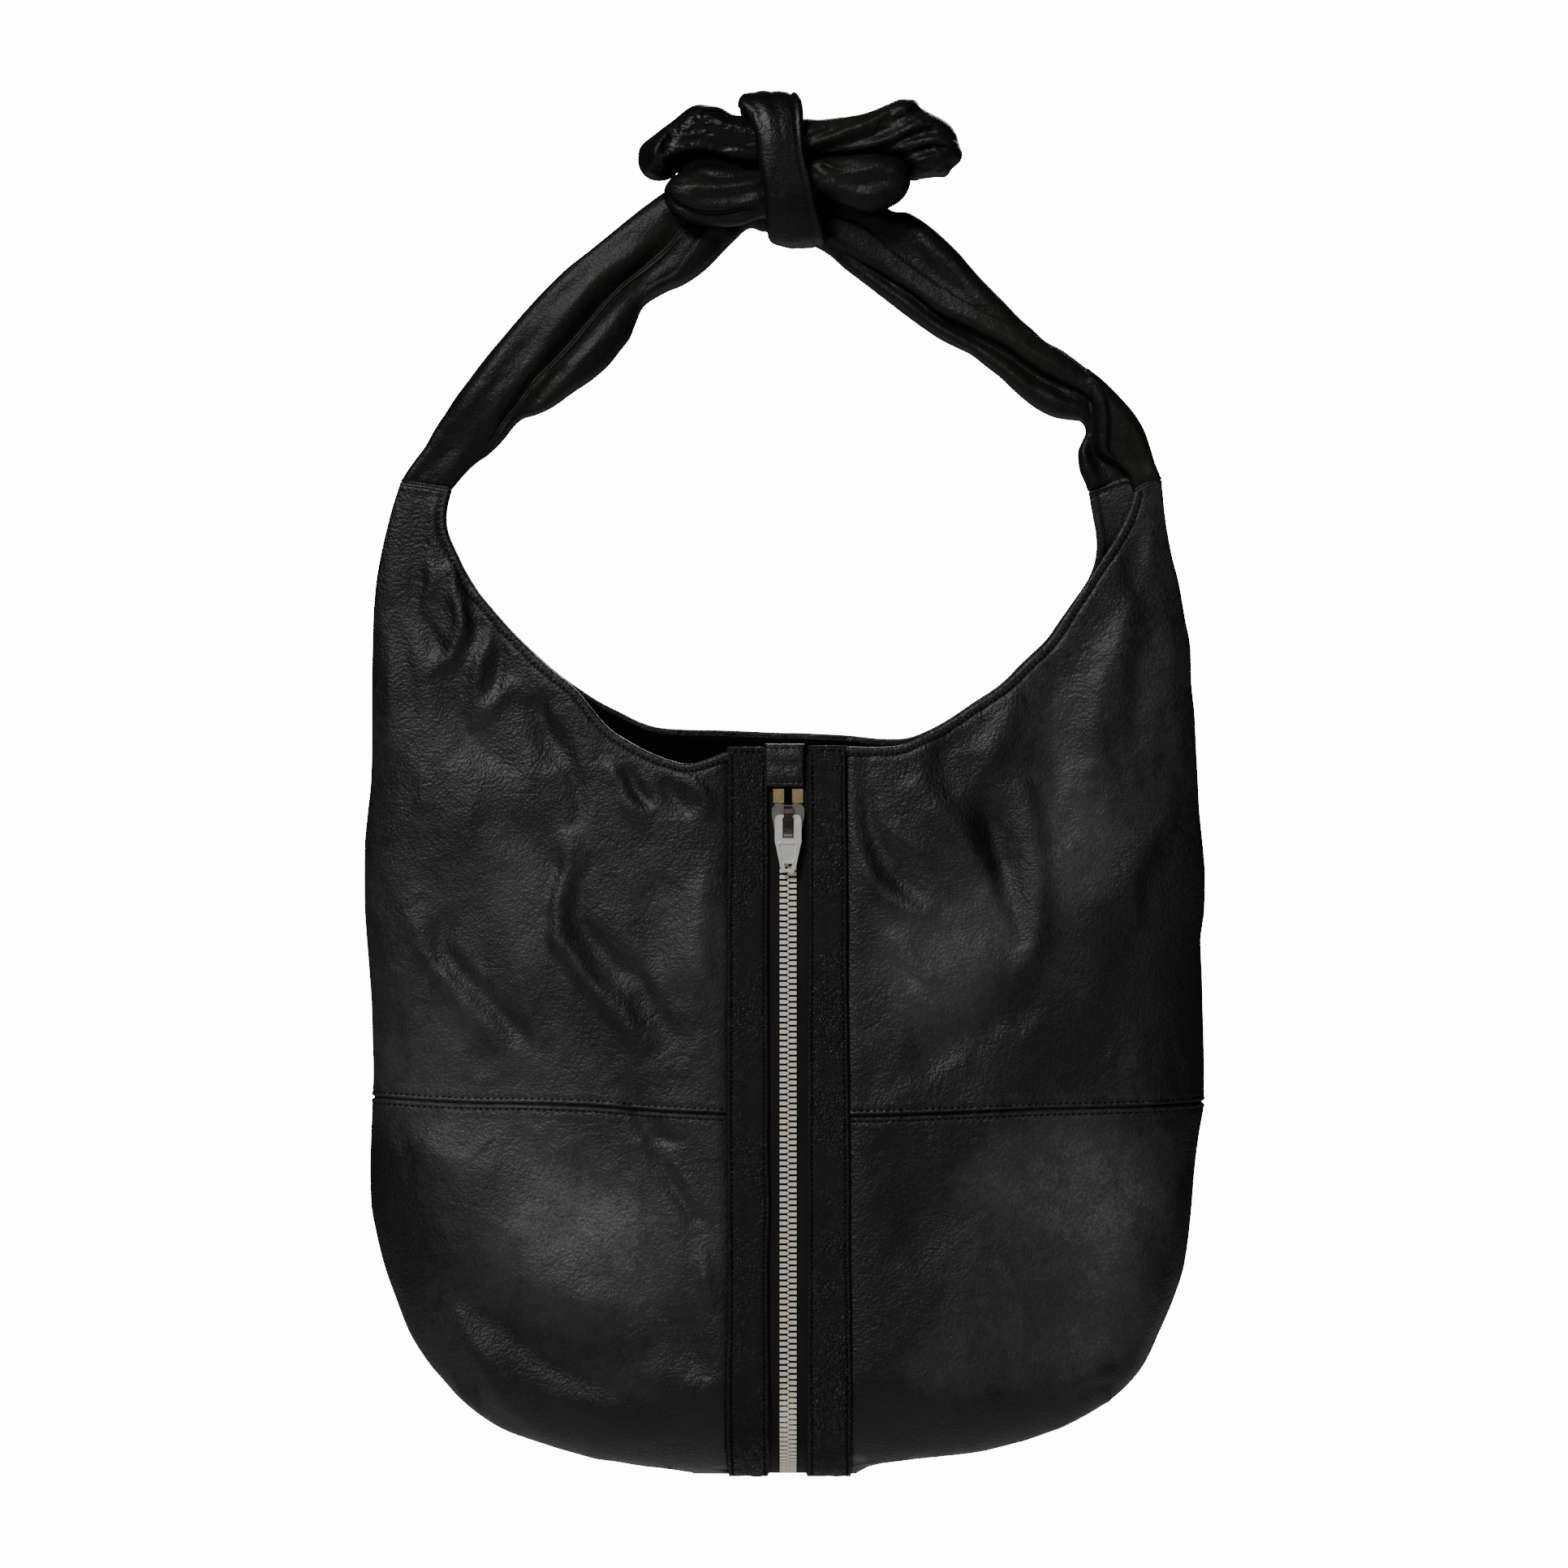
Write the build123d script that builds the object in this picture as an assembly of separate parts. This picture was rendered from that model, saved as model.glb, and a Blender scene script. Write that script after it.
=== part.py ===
"""Slouchy leather hobo bag: knotted two-tie shoulder strap, open scooped mouth,
exposed metal zip down the middle of the front, lined inside.

Frame: +X to the wearer's right when looking at the front, +Y from front to back, +Z up.
The origin is under the knot, where the strap loop bears on a hook or a shoulder.
All sizes are millimetres. Heights written in the tables are measured up from the
lowest point of the bag, and everything is lowered by HANG at the end.
"""
from build123d import *
from math import sin, cos, tan, radians, degrees, sqrt, pi, atan2
import os

os.makedirs("parts", exist_ok=True)

# ------------------------------------------------------------------ driving dimensions
HANG = 573.97            # height of the hang point above the lowest point of the bag
LEATHER = 1.4            # body leather
LINING = 0.7             # lining cloth
LINING_GAP = 2.0         # outer face of the bag to outer face of the lining
RIM_W = 3.5              # width of the turned and bound mouth edge
SEAM_Z = 172.9           # horizontal panel seam
BOTTOM_R = 46.0          # half depth of the bag at its round bottom
MOUTH_Z = 338.0          # height of the front mouth edge at the zip
MOUTH_HALF_DEPTH = 20.0
FACING_OUT, FACING_IN = 28.0, 8.5     # zip facing strips, distance from the centre line
FACING_TOP, FACING_UNDER = 0.6, -1.2  # their faces, out from the bag's surface
TAPE_OUT, TAPE_EDGE = 16.0, 2.6
TAPE_N0, TAPE_N1 = -2.2, -1.4
CHAIN_N = -1.8           # mid plane of the chain below the bag's surface
PITCH = 2.76             # tooth pitch, size 8 metal chain
TOOTH_T = 2.6            # tooth thickness
SLIDER_L = 17.0
SPREAD = 2.0             # how far the slider's divider pushes each row aside
TAB_Z0 = 321.0           # lower edge of the leather tab over the zip's top end
HINGE_Z = 466.0          # shoulder seam, where strap and bag flex on each other
KNUCKLE_R = 5.0
KNUCKLE_GAP = 0.35
KNOT_X, KNOT_Z, KNOT_LEAN = -0.9, 610.0, -11.0
KNOT_H, KNOT_D, KNOT_W, KNOT_WALL = 75.0, 46.0, 28.5, 4.0

# half width and half depth of the bag at heights above its lowest point
SECTIONS = [
    (0.6, 32.0, 7.4), (2.0, 42.0, 13.4), (4.0, 56.0, 18.8), (8.0, 83.0, 25.9),
    (14.0, 109.5, 33.0), (22.0, 132.0, 39.3), (32.0, 148.5, 43.9), (50.1, 166.8, 45.8),
    (66.5, 175.8, 44.3), (90.0, 185.0, 42.2), (127.0, 192.2, 38.9), (172.9, 194.4, 34.8),
    (234.0, 195.2, 29.3), (294.5, 196.2, 23.9), (338.0, 193.2, 20.0), (371.0, 191.8, 16.4),
    (401.0, 189.8, 13.1), (431.0, 185.2, 9.8), (450.0, 181.6, 7.8), (470.0, 177.4, 6.4),
]
# scooped mouth, right half: (half width, height)
MOUTH_FRONT = [(30.0, 338.0), (50.0, 340.5), (72.0, 348.5), (88.0, 359.0), (104.0, 371.0), (119.5, 386.0),
               (132.0, 401.0), (143.0, 416.0), (150.5, 431.0), (154.0, 446.0), (152.5, 466.0), (150.0, 485.0)]
MOUTH_BACK = [(34.0, 346.5), (52.0, 347.0), (72.0, 350.0), (88.0, 359.5), (104.0, 371.0), (119.5, 386.0),
              (132.0, 401.0), (143.0, 416.0), (150.5, 431.0), (154.0, 446.0), (152.5, 466.0), (150.0, 485.0)]

# ------------------------------------------------------------------ centre profile of the front
# round bottom of radius BOTTOM_R about (y 0, z BOTTOM_R), then a straight line up to the mouth
C_Y, C_Z = 0.0, BOTTOM_R
_a = 0.0
for _ in range(60):      # tilt of the straight front so that it is tangent to the round bottom
    _a = (BOTTOM_R - MOUTH_HALF_DEPTH * cos(_a)) / (MOUTH_Z - BOTTOM_R) / (sin(_a) / _a if _a else 1.0)
TILT = _a
T_Y, T_Z = C_Y - BOTTOM_R * cos(TILT), C_Z + BOTTOM_R * sin(TILT)
S_TOP = (MOUTH_Z - T_Z) / cos(TILT)
ARC_END = pi / 2 + TILT


def at(s, n):
    """(y, z) at distance s up the front from the tangent point (negative: round the bottom), n out from the surface."""
    if s >= 0:
        return T_Y + s * sin(TILT) - n * cos(TILT), T_Z + s * cos(TILT) + n * sin(TILT)
    a = TILT + s / BOTTOM_R
    return C_Y - (BOTTOM_R + n) * cos(a), C_Z + (BOTTOM_R + n) * sin(a)


def s_of(z, n=0.0):
    return (z - T_Z - n * sin(TILT)) / cos(TILT)


def chain_loc(s):
    """Frame on the front surface: X across, -Y out of the surface, Z up along the zip."""
    y, z = at(s, 0.0)
    a = TILT if s >= 0 else TILT + s / BOTTOM_R
    return Location((0, y, z), (-degrees(a), 0, 0))


def band(n0, n1, x0, x1, s1=None, arc_end=ARC_END):
    """A strip that follows the front's centre profile from s1 down round the bottom to arc_end."""
    s1 = S_TOP if s1 is None else s1
    e = -arc_end * BOTTOM_R
    o_top, o_tan, o_mid, o_end = at(s1, n1), at(0, n1), at(e / 2, n1), at(e, n1)
    i_top, i_tan, i_mid, i_end = at(s1, n0), at(0, n0), at(e / 2, n0), at(e, n0)
    p = lambda q: Vector(x0, q[0], q[1])
    edges = [Edge.make_line(p(o_top), p(o_tan)),
             Edge.make_three_point_arc(p(o_tan), p(o_mid), p(o_end)),
             Edge.make_line(p(o_end), p(i_end)),
             Edge.make_three_point_arc(p(i_end), p(i_mid), p(i_tan)),
             Edge.make_line(p(i_tan), p(i_top)),
             Edge.make_line(p(i_top), p(o_top))]
    face = Face(Wire(edges))
    return Solid.extrude(face, Vector(x1 - x0, 0, 0))


def prism_xz(points, y0, y1):
    """Closed outline in X-Z, extruded from y0 to y1."""
    w = Wire.make_polygon([Vector(x, y0, z) for x, z in points], close=True)
    return Solid.extrude(Face(w), Vector(0, y1 - y0, 0))


def local_prism(points, n0, n1):
    """Closed outline (x, s) on the zip's own plane, extruded from n0 to n1 out of the surface."""
    w = Wire.make_polygon([Vector(x, -n0, s) for x, s in points], close=True)
    return Solid.extrude(Face(w), Vector(0, -(n1 - n0), 0))


FRONT = chain_loc(0.0)
out = {}


def keep(name, *shapes):
    out[name] = [x for s in shapes for x in (s.solids() if not isinstance(s, Solid) else [s])]


# ------------------------------------------------------------------ the bag's shells
def body(d):
    """The bag's closed outer volume, taken in by d."""
    wires = []
    for z, a, b in SECTIONS:
        up = max(0.0, (BOTTOM_R - z) / BOTTOM_R)         # how far down the surface faces here
        side = sqrt(1.0 - up * up)
        wires.append(Wire.make_ellipse(a - d * max(side, 0.35), b - d * side,
                                       Plane(origin=(0, 0, z + d * up), x_dir=(1, 0, 0), z_dir=(0, 0, 1))))
    return Solid.make_loft(wires, ruled=True)


def mouth_prism(points, grow, y0, y1):
    """Everything above the scooped mouth edge, lowered and widened by grow."""
    pts = []
    n = len(points)
    for i, (x, z) in enumerate(points):
        xa, za = points[max(i - 1, 0)]
        xb, zb = points[min(i + 1, n - 1)]
        tx, tz = xb - xa, zb - za
        if i == 0:
            tx, tz = 1.0, 0.0
        if i == n - 1:
            tx, tz = 0.0, 1.0
        l = sqrt(tx * tx + tz * tz)
        pts.append((x + grow * tz / l, z - grow * tx / l))
    right = [Vector(x, y0, z) for x, z in pts]
    left = [Vector(-x, y0, z) for x, z in reversed(pts)]
    edges = [Edge.make_line(left[-1], right[0]),
             Edge.make_spline(right, tangents=[Vector(1, 0, 0), Vector(-0.12, 0, 1)]),
             Edge.make_line(right[-1], left[0]),
             Edge.make_spline(left, tangents=[Vector(-0.12, 0, -1), Vector(1, 0, 0)])]
    return Solid.extrude(Face(Wire(edges)), Vector(0, y1 - y0, 0))


def box(x0, x1, y0, y1, z0, z1):
    return Solid.make_box(x1 - x0, y1 - y0, z1 - z0, Plane(origin=(x0, y0, z0)))


outer = body(0.0)
inner = body(LEATHER)
leather = outer - inner

mouth_f = mouth_prism(MOUTH_FRONT, 0.0, -80, 0)
mouth_f2 = mouth_prism(MOUTH_FRONT, RIM_W, -80, 0)
mouth_b = mouth_prism(MOUTH_BACK, 0.0, 0, 80)
mouth_b2 = mouth_prism(MOUTH_BACK, RIM_W, 0, 80)
mouths2 = [mouth_f2, mouth_b2]

knuckle_l = Solid.make_cylinder(KNUCKLE_R, 26.0, Plane(origin=(-177.0, 0, HINGE_Z), x_dir=(0, 1, 0), z_dir=(1, 0, 0)))
knuckle_r = Solid.make_cylinder(KNUCKLE_R, 26.0, Plane(origin=(151.0, 0, HINGE_Z), x_dir=(0, 1, 0), z_dir=(1, 0, 0)))
# the shells stop just under the shoulder seam's centre, and its rolled seam is cut out of them
top_cut = box(-260, 260, -80, 80, HINGE_Z - 2.0, HINGE_Z + 60)
knuckle_cut_l = Solid.make_cylinder(KNUCKLE_R, 60.0, Plane(origin=(-200.0, 0, HINGE_Z), x_dir=(0, 1, 0), z_dir=(1, 0, 0)))
knuckle_cut_r = Solid.make_cylinder(KNUCKLE_R, 60.0, Plane(origin=(140.0, 0, HINGE_Z), x_dir=(0, 1, 0), z_dir=(1, 0, 0)))


def clip(shape, region, cuts):
    got = shape & region
    for c in cuts:
        got = got - c
    return got


ends = [top_cut, knuckle_cut_l, knuckle_cut_r]
keep("front_panel_upper_left", clip(leather, box(-260, -FACING_OUT, -80, 0, SEAM_Z, 600), [mouth_f2] + ends))
keep("front_panel_upper_right", clip(leather, box(FACING_OUT, 260, -80, 0, SEAM_Z, 600), [mouth_f2] + ends))
keep("front_panel_lower_left", clip(leather, box(-260, -FACING_OUT, -80, 0, -5, SEAM_Z), []))
keep("front_panel_lower_right", clip(leather, box(FACING_OUT, 260, -80, 0, -5, SEAM_Z), []))
keep("back_panel_upper", clip(leather, box(-260, 260, 0, 80, SEAM_Z, 600), [mouth_b2] + ends))
keep("back_panel_lower", clip(leather, box(-260, 260, 0, 80, -5, SEAM_Z), []))

# bound mouth edges: a slightly thicker strip along each edge
rim_shell = body(-0.4) - body(LEATHER + 0.4)
keep("mouth_binding_front_left", clip(rim_shell & mouth_f2, box(-260, -FACING_OUT, -80, 0, 300, HINGE_Z - 6.5), [mouth_f]))
keep("mouth_binding_front_right", clip(rim_shell & mouth_f2, box(FACING_OUT, 260, -80, 0, 300, HINGE_Z - 6.5), [mouth_f]))
keep("mouth_binding_back", clip(rim_shell & mouth_b2, box(-260, 260, 0, 80, 300, HINGE_Z - 6.5), [mouth_b]))

# lining: two front leaves sewn to the zip tapes and one back leaf
lin = body(LINING_GAP) - body(LINING_GAP + LINING)
lin_top = box(-260, 260, -80, 80, HINGE_Z - 12.0, HINGE_Z + 60)
keep("lining_front_left", clip(lin, box(-260, -17, -80, 0, -5, 600), [mouth_f2, lin_top]))
keep("lining_front_right", clip(lin, box(17, 260, -80, 0, -5, 600), [mouth_f2, lin_top]))
keep("lining_back", clip(lin, box(-260, 260, 0, 80, -5, 600), [mouth_b2, lin_top]))

keep("shoulder_seam_left", knuckle_l)
keep("shoulder_seam_right", knuckle_r)

# ------------------------------------------------------------------ zip: facings, tapes, chain
keep("zip_facing_left", band(FACING_UNDER, FACING_TOP, -FACING_OUT, -FACING_IN))
keep("zip_facing_right", band(FACING_UNDER, FACING_TOP, FACING_IN, FACING_OUT))

s_stop0 = s_of(313.9)                # lower end of the top stops
s_stop1 = s_stop0 + 6.5
SL0 = s_stop0 - 0.3 - SLIDER_L       # lower end of the slider when the zip is closed
SP0, SP1 = SL0 + 1.0, SL0 + 11.0     # the rows move apart between these


def spread(s):
    return 0.0 if s <= SP0 else SPREAD if s >= SP1 else SPREAD * (s - SP0) / (SP1 - SP0)


def tape(sign):
    t = band(TAPE_N0, TAPE_N1, min(sign * TAPE_EDGE, sign * TAPE_OUT), max(sign * TAPE_EDGE, sign * TAPE_OUT), s1=S_TOP - 2.0)
    cut = local_prism([(sign * 2.0, SP0), (sign * TAPE_EDGE, SP0), (sign * (TAPE_EDGE + SPREAD), SP1),
                       (sign * (TAPE_EDGE + SPREAD), S_TOP + 10), (sign * 2.0, S_TOP + 10)], TAPE_N0 - 1, TAPE_N1 + 1)
    return t - cut.moved(FRONT)


keep("zip_tape_left", tape(-1))
keep("zip_tape_right", tape(1))


def tooth(sign):
    """One tooth at its own centre: a tapered head on the centre line and two legs that grip the tape's corded edge."""
    pts = [(3.9, -0.72), (3.9, 0.72), (3.7, 0.88), (1.1, 0.88), (-0.35, 0.36), (-0.35, -0.36), (1.1, -0.88), (3.7, -0.88)]
    h = TOOTH_T / 2
    w = Wire.make_polygon([Vector(sign * x, -h, z) for x, z in pts], close=True)
    solid = Solid.extrude(Face(w), Vector(0, TOOTH_T, 0))
    slot = box(min(sign * 2.45, sign * 5), max(sign * 2.45, sign * 5), -0.45, 0.45, -2, 2)
    got = (solid - slot).solids()[0]
    return got.moved(Location((0, -CHAIN_N, 0)))


def teeth(sign, offset):
    base = tooth(sign)
    placed = []
    s = s_stop0 - 1.3 - offset
    lean = degrees(atan2(SPREAD, SP1 - SP0))
    while s > -(ARC_END - 0.07) * BOTTOM_R:
        d = spread(s)
        r = lean if SP0 < s < SP1 else 0.0
        t = base
        if d or r:
            # lean with the parting tape: turn about the tape's edge, then move out
            t = t.moved(Location((sign * -TAPE_EDGE, 0, 0)))
            t = t.moved(Location((0, 0, 0), (0, sign * r, 0)))
            t = t.moved(Location((sign * (TAPE_EDGE + d), 0, 0)))
        placed.append(t.moved(chain_loc(s)))
        s -= PITCH
    return placed


keep("zip_teeth_left", *teeth(-1, 0.0))
keep("zip_teeth_right", *teeth(1, PITCH / 2))


def stop(sign):
    """Bent clip closed over the tape's edge at the top of a row."""
    x0, x1 = 1.9, 6.9
    b = box(min(sign * x0, sign * x1), max(sign * x0, sign * x1), 0.4, 3.2, s_stop0, s_stop1)
    slot = box(min(sign * 4.4, sign * 9), max(sign * 4.4, sign * 9), -TAPE_N1 - 0.02, -TAPE_N0 + 0.02, s_stop0 - 1, s_stop1 + 1)
    b = b - slot
    return b.solids()[0].moved(FRONT)


keep("zip_top_stops", stop(-1), stop(1))
b_s = -(ARC_END - 0.035) * BOTTOM_R
bs = box(-3.6, 3.6, 0.5, 3.1, -1.0, 1.0)
bs = bs - box(TAPE_EDGE - 0.02, 5, -TAPE_N1 - 0.02, -TAPE_N0 + 0.02, -2, 2) - box(-5, -TAPE_EDGE + 0.02, -TAPE_N1 - 0.02, -TAPE_N0 + 0.02, -2, 2)
keep("zip_bottom_stop", bs.solids()[0].moved(chain_loc(b_s)))

tab = local_prism([(-8.4, s_of(TAB_Z0)), (8.4, s_of(TAB_Z0)), (8.4, S_TOP), (-8.4, S_TOP)], -1.35, 0.2)
keep("zip_top_tab", tab.moved(FRONT))

# ------------------------------------------------------------------ slider, cover, lock spring, pull
N_IN0, N_IN1 = CHAIN_N - TOOTH_T / 2 - 0.2, CHAIN_N + TOOTH_T / 2 + 0.2     # the channel the chain runs in
PLATE = 1.25
plate = [(-5.5, 0), (5.5, 0), (7.5, 11), (7.5, 14.6), (6.2, 16.6), (3.2, 17.0), (1.6, 16.2), (-1.6, 16.2), (-3.2, 17.0),
         (-6.2, 16.6), (-7.5, 14.6), (-7.5, 11)]
up = lambda pts: [(x, s + SL0) for x, s in pts]
top_plate = local_prism(up(plate), N_IN1, N_IN1 + PLATE)
bottom_plate = local_prism(up(plate), N_IN0 - PLATE, N_IN0)
slider = top_plate
for sgn in (-1, 1):
    fl = [(sgn * 5.5, 0), (sgn * 7.5, 11), (sgn * 7.5, 14.6), (sgn * 6.5, 14.6), (sgn * 6.5, 11), (sgn * 4.45, 0)]
    slider = slider + local_prism(up(fl), TAPE_N1 + 0.2, N_IN1 + 0.01)
post = [(0, 9.6), (1.25, 12.2), (1.35, 15.8), (-1.35, 15.8), (-1.25, 12.2)]
slider = slider + local_prism(up(post), N_IN0 - 0.01, N_IN1 + 0.01)
slider = slider + bottom_plate
for sgn in (-1, 1):
    fl = [(sgn * 5.5, 0), (sgn * 7.5, 11), (sgn * 7.5, 14.6), (sgn * 6.5, 14.6), (sgn * 6.5, 11), (sgn * 4.45, 0)]
    slider = slider + local_prism(up(fl), N_IN0 - 0.01, TAPE_N0 - 0.2)
N_TOP = N_IN1 + PLATE
AX_S, AX_N = SL0 + 10.7, N_TOP + 1.35          # pull's hinge axis
# small window in the top plate for the lock spring's prong
slider = slider - box(-0.8, 0.8, -N_TOP - 1, -N_IN1 + 0.5, SL0 + 4.0, SL0 + 5.2)
keep("zip_slider_body", slider.moved(FRONT))

# domed cover over the spring, arched in side view, with a cross hole for the pull's bar
cov_pts = [(1.3, 0.0), (1.3, 1.6), (2.4, 2.6), (5.0, 3.2), (8.5, 3.5), (12.0, 3.4), (14.2, 2.7), (15.6, 1.3), (15.6, 0.0)]
w = Wire.make_polygon([Vector(-2.05, -(N_TOP + n), SL0 + s) for s, n in cov_pts], close=True)
cover = Solid.extrude(Face(w), Vector(4.1, 0, 0))
hole = Solid.make_cylinder(1.3, 12, Plane(origin=(-6, -AX_N, AX_S), x_dir=(0, 1, 0), z_dir=(1, 0, 0)))
cavity = [(2.0, -0.5), (2.0, 1.3), (2.8, 1.9), (5.0, 2.4), (8.4, 2.6), (8.4, -0.5)]
w = Wire.make_polygon([Vector(-1.4, -(N_TOP + n), SL0 + s) for s, n in cavity], close=True)
cover = cover - hole - Solid.extrude(Face(w), Vector(2.8, 0, 0))
keep("zip_slider_cover", cover.moved(FRONT))

spring = [(2.4, 0.02), (2.4, 0.55), (4.25, 0.55), (8.0, 0.95), (8.0, 0.5), (5.0, 0.1), (5.0, -1.2), (4.4, -1.2), (4.2, 0.02)]
w = Wire.make_polygon([Vector(-0.6, -(N_TOP + n), SL0 + s) for s, n in spring], close=True)
keep("zip_lock_spring", Solid.extrude(Face(w), Vector(1.2, 0, 0)).moved(FRONT))

PULL_T = 1.6
r = lambda s: s - 10.7 + AX_S      # heights along the slider, pull drawn hanging
pull_pts = [(-6.2, r(9.0)), (-5.6, r(10.9)), (-4.4, r(11.5)), (4.4, r(11.5)), (5.6, r(10.9)), (6.2, r(9.0)), (6.2, r(-1.0)), (5.6, r(-3.4)),
            (3.4, r(-14.0)), (2.6, r(-15.2)), (-2.6, r(-15.2)), (-3.4, r(-14.0)), (-5.6, r(-3.4)), (-6.2, r(-1.0))]
pull = local_prism(pull_pts, AX_N - PULL_T / 2, AX_N + PULL_T / 2)
slot = local_prism([(-2.6, r(0.6)), (2.6, r(0.6)), (2.6, r(14)), (-2.6, r(14))], AX_N - 3, AX_N + 3)
bar = Solid.make_cylinder(0.8, 5.6, Plane(origin=(-2.8, -AX_N, AX_S), x_dir=(0, 1, 0), z_dir=(1, 0, 0)))
pull = pull - slot + bar
pull = pull - local_prism([(-4.0, r(-2.2)), (4.0, r(-2.2)), (2.5, r(-10.2)), (-2.5, r(-10.2))], AX_N + PULL_T / 2 - 0.35, AX_N + 2)
pull = pull - local_prism([(-1.9, r(-11.3)), (1.9, r(-11.3)), (1.4, r(-13.6)), (-1.4, r(-13.6))], AX_N - 3, AX_N + 3)
keep("zip_pull_tab", pull.moved(FRONT))

# ------------------------------------------------------------------ strap and knot
def oval(centre, u, v, ru, rv):
    """Closed smooth oval with half axes ru along u and rv along v, in four quarters, always started on +u."""
    at_angle = lambda t: centre + u * (ru * cos(t)) + v * (rv * sin(t))
    heading = lambda t: (u * (-ru * sin(t)) + v * (rv * cos(t))).normalized()
    edges = []
    for q in range(4):
        t0 = q * pi / 2
        edges.append(Edge.make_spline([at_angle(t0 + k * pi / 8) for k in range(5)],
                                      tangents=[heading(t0), heading(t0 + pi / 2)]))
    return Wire(edges)


def leaf(stations):
    """Soft folded strap: oval sections between an outer and an inner edge point."""
    wires = []
    mids = [Vector((a + c) / 2, y, (b + d) / 2) for a, b, c, d, y, t in stations]
    for i, (xo, zo, xi, zi, y, t) in enumerate(stations):
        x_dir = Vector(xi - xo, 0, zi - zo)
        wires.append(oval(mids[i], x_dir.normalized(), Vector(0, 1, 0), x_dir.length / 2, t))
    return Solid.make_loft(wires, ruled=True)


LEFT = [(-177.5, 469.0, -152.0, 469.0, 0, 2.4), (-171.5, 480.0, -147.0, 473.5, 0, 3.4), (-159.6, 496.0, -137.0, 478.5, 0, 6.0),
        (-143.3, 518.7, -112.9, 495.1, 0, 7.5), (-124.3, 541.5, -83.6, 516.8, 1, 8.5), (-101.8, 564.3, -70.3, 537.7, 3, 8.0),
        (-79.0, 584.1, -50.5, 555.9, 6, 7.5), (-60.0, 596.6, -32.0, 573.8, 8, 7.0), (-24.0, 605.0, -24.0, 582.5, 8.5, 6.8),
        (KNOT_X, 608.0, KNOT_X, 585.0, 8.5, 6.8)]
RIGHT = [(175.0, 469.0, 147.0, 469.0, 0, 2.4), (170.6, 481.0, 141.0, 476.5, 0, 3.6), (161.1, 499.7, 133.0, 489.0, 0, 6.0),
         (145.2, 515.7, 122.4, 497.0, 0, 7.5), (126.2, 528.2, 99.6, 511.0, 1, 8.0), (107.2, 544.5, 76.8, 525.0, 3, 8.5),
         (90.1, 562.4, 54.0, 541.0, 5, 8.5), (73.0, 579.5, 38.0, 557.0, 7, 8.0), (47.0, 597.0, 31.0, 573.0, 8.5, 7.0),
         (24.0, 608.5, 24.0, 586.5, 8.5, 6.8), (KNOT_X, 608.0, KNOT_X, 585.0, 8.5, 6.8)]
strap_cut_l = Solid.make_cylinder(KNUCKLE_R + KNUCKLE_GAP, 80, Plane(origin=(-215, 0, HINGE_Z), x_dir=(0, 1, 0), z_dir=(1, 0, 0)))
strap_cut_r = Solid.make_cylinder(KNUCKLE_R + KNUCKLE_GAP, 80, Plane(origin=(135, 0, HINGE_Z), x_dir=(0, 1, 0), z_dir=(1, 0, 0)))
keep("strap_tie_left", leaf(LEFT) - strap_cut_l)
keep("strap_tie_right", leaf(RIGHT) - strap_cut_r)


def loop(stations, way):
    wires = [oval(Vector(x, y, z), Vector(0, 0, 1), Vector(0, 1, 0), hz, hy) for x, z, y, hz, hy in stations]
    return Solid.make_loft(wires, ruled=True)


keep("knot_bow_upper_left", loop([(KNOT_X, 625, 0, 13.5, 12.5), (-20, 623, -1, 13.5, 13), (-35, 624, -3, 15, 15), (-52, 623, -3, 14.5, 14),
                                  (-64, 618.5, -2, 10.5, 10), (-69, 617, -2, 4, 4)], -1))
keep("knot_bow_lower_left", loop([(KNOT_X, 597, -8.5, 11.5, 7), (-20, 594.5, -8.5, 11.5, 7.5), (-33, 595, -10.2, 12, 9), (-46, 595.5, -10.2, 11, 9),
                                  (-54, 596, -9, 8, 7), (-57.5, 596, -9, 3, 3)], -1))
keep("knot_bow_upper_right", loop([(KNOT_X, 625, 0, 13.5, 12.5), (22, 628, 0, 13.5, 13), (40, 627, 0, 15, 14), (60, 628.5, -1, 16, 15),
                                   (74, 626, -1, 13.5, 12), (81, 621, -1, 7, 7), (84, 620.5, -1, 2.5, 2.5)], 1))
keep("knot_bow_lower_right", loop([(KNOT_X, 597, -8.5, 11.5, 7), (20, 600, -8.5, 10.5, 8), (35, 600, -10, 9.5, 9.4), (48, 600.5, -10, 9, 9),
                                   (56, 601, -9, 6, 6.5), (59, 601, -9, 2.5, 3)], 1))
YZ = Plane(origin=(-KNOT_W / 2, 0, 0), x_dir=(0, 1, 0), z_dir=(1, 0, 0))
ring = Solid.extrude(Face(Wire.make_ellipse(KNOT_D / 2, KNOT_H / 2, YZ)), Vector(KNOT_W, 0, 0)) \
    - Solid.extrude(Face(Wire.make_ellipse(KNOT_D / 2 - KNOT_WALL, KNOT_H / 2 - KNOT_WALL, YZ)), Vector(KNOT_W, 0, 0))
keep("knot_wrap", ring.moved(Location((KNOT_X, 0, KNOT_Z), (0, KNOT_LEAN, 0))))

# ------------------------------------------------------------------ write
print("tilt", round(degrees(TILT), 4), "tangent", round(T_Y, 3), round(T_Z, 3), "s_top", round(S_TOP, 3), "slider s", round(SL0, 3))
ay, az = at(AX_S, AX_N)
print("pull axis y z", round(ay, 4), round(az - HANG, 4), "slide axis", 0, round(-sin(TILT), 6), round(-cos(TILT), 6), "travel to tangent", round(SL0, 3))
for name, solids in out.items():
    moved = [s.moved(Location((0, 0, -HANG))) for s in solids]
    shape = moved[0] if len(moved) == 1 else Compound(children=moved)
    export_step(shape, f"parts/{name}.step")
    print(name, len(moved), round(sum(s.volume for s in moved), 1))
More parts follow.
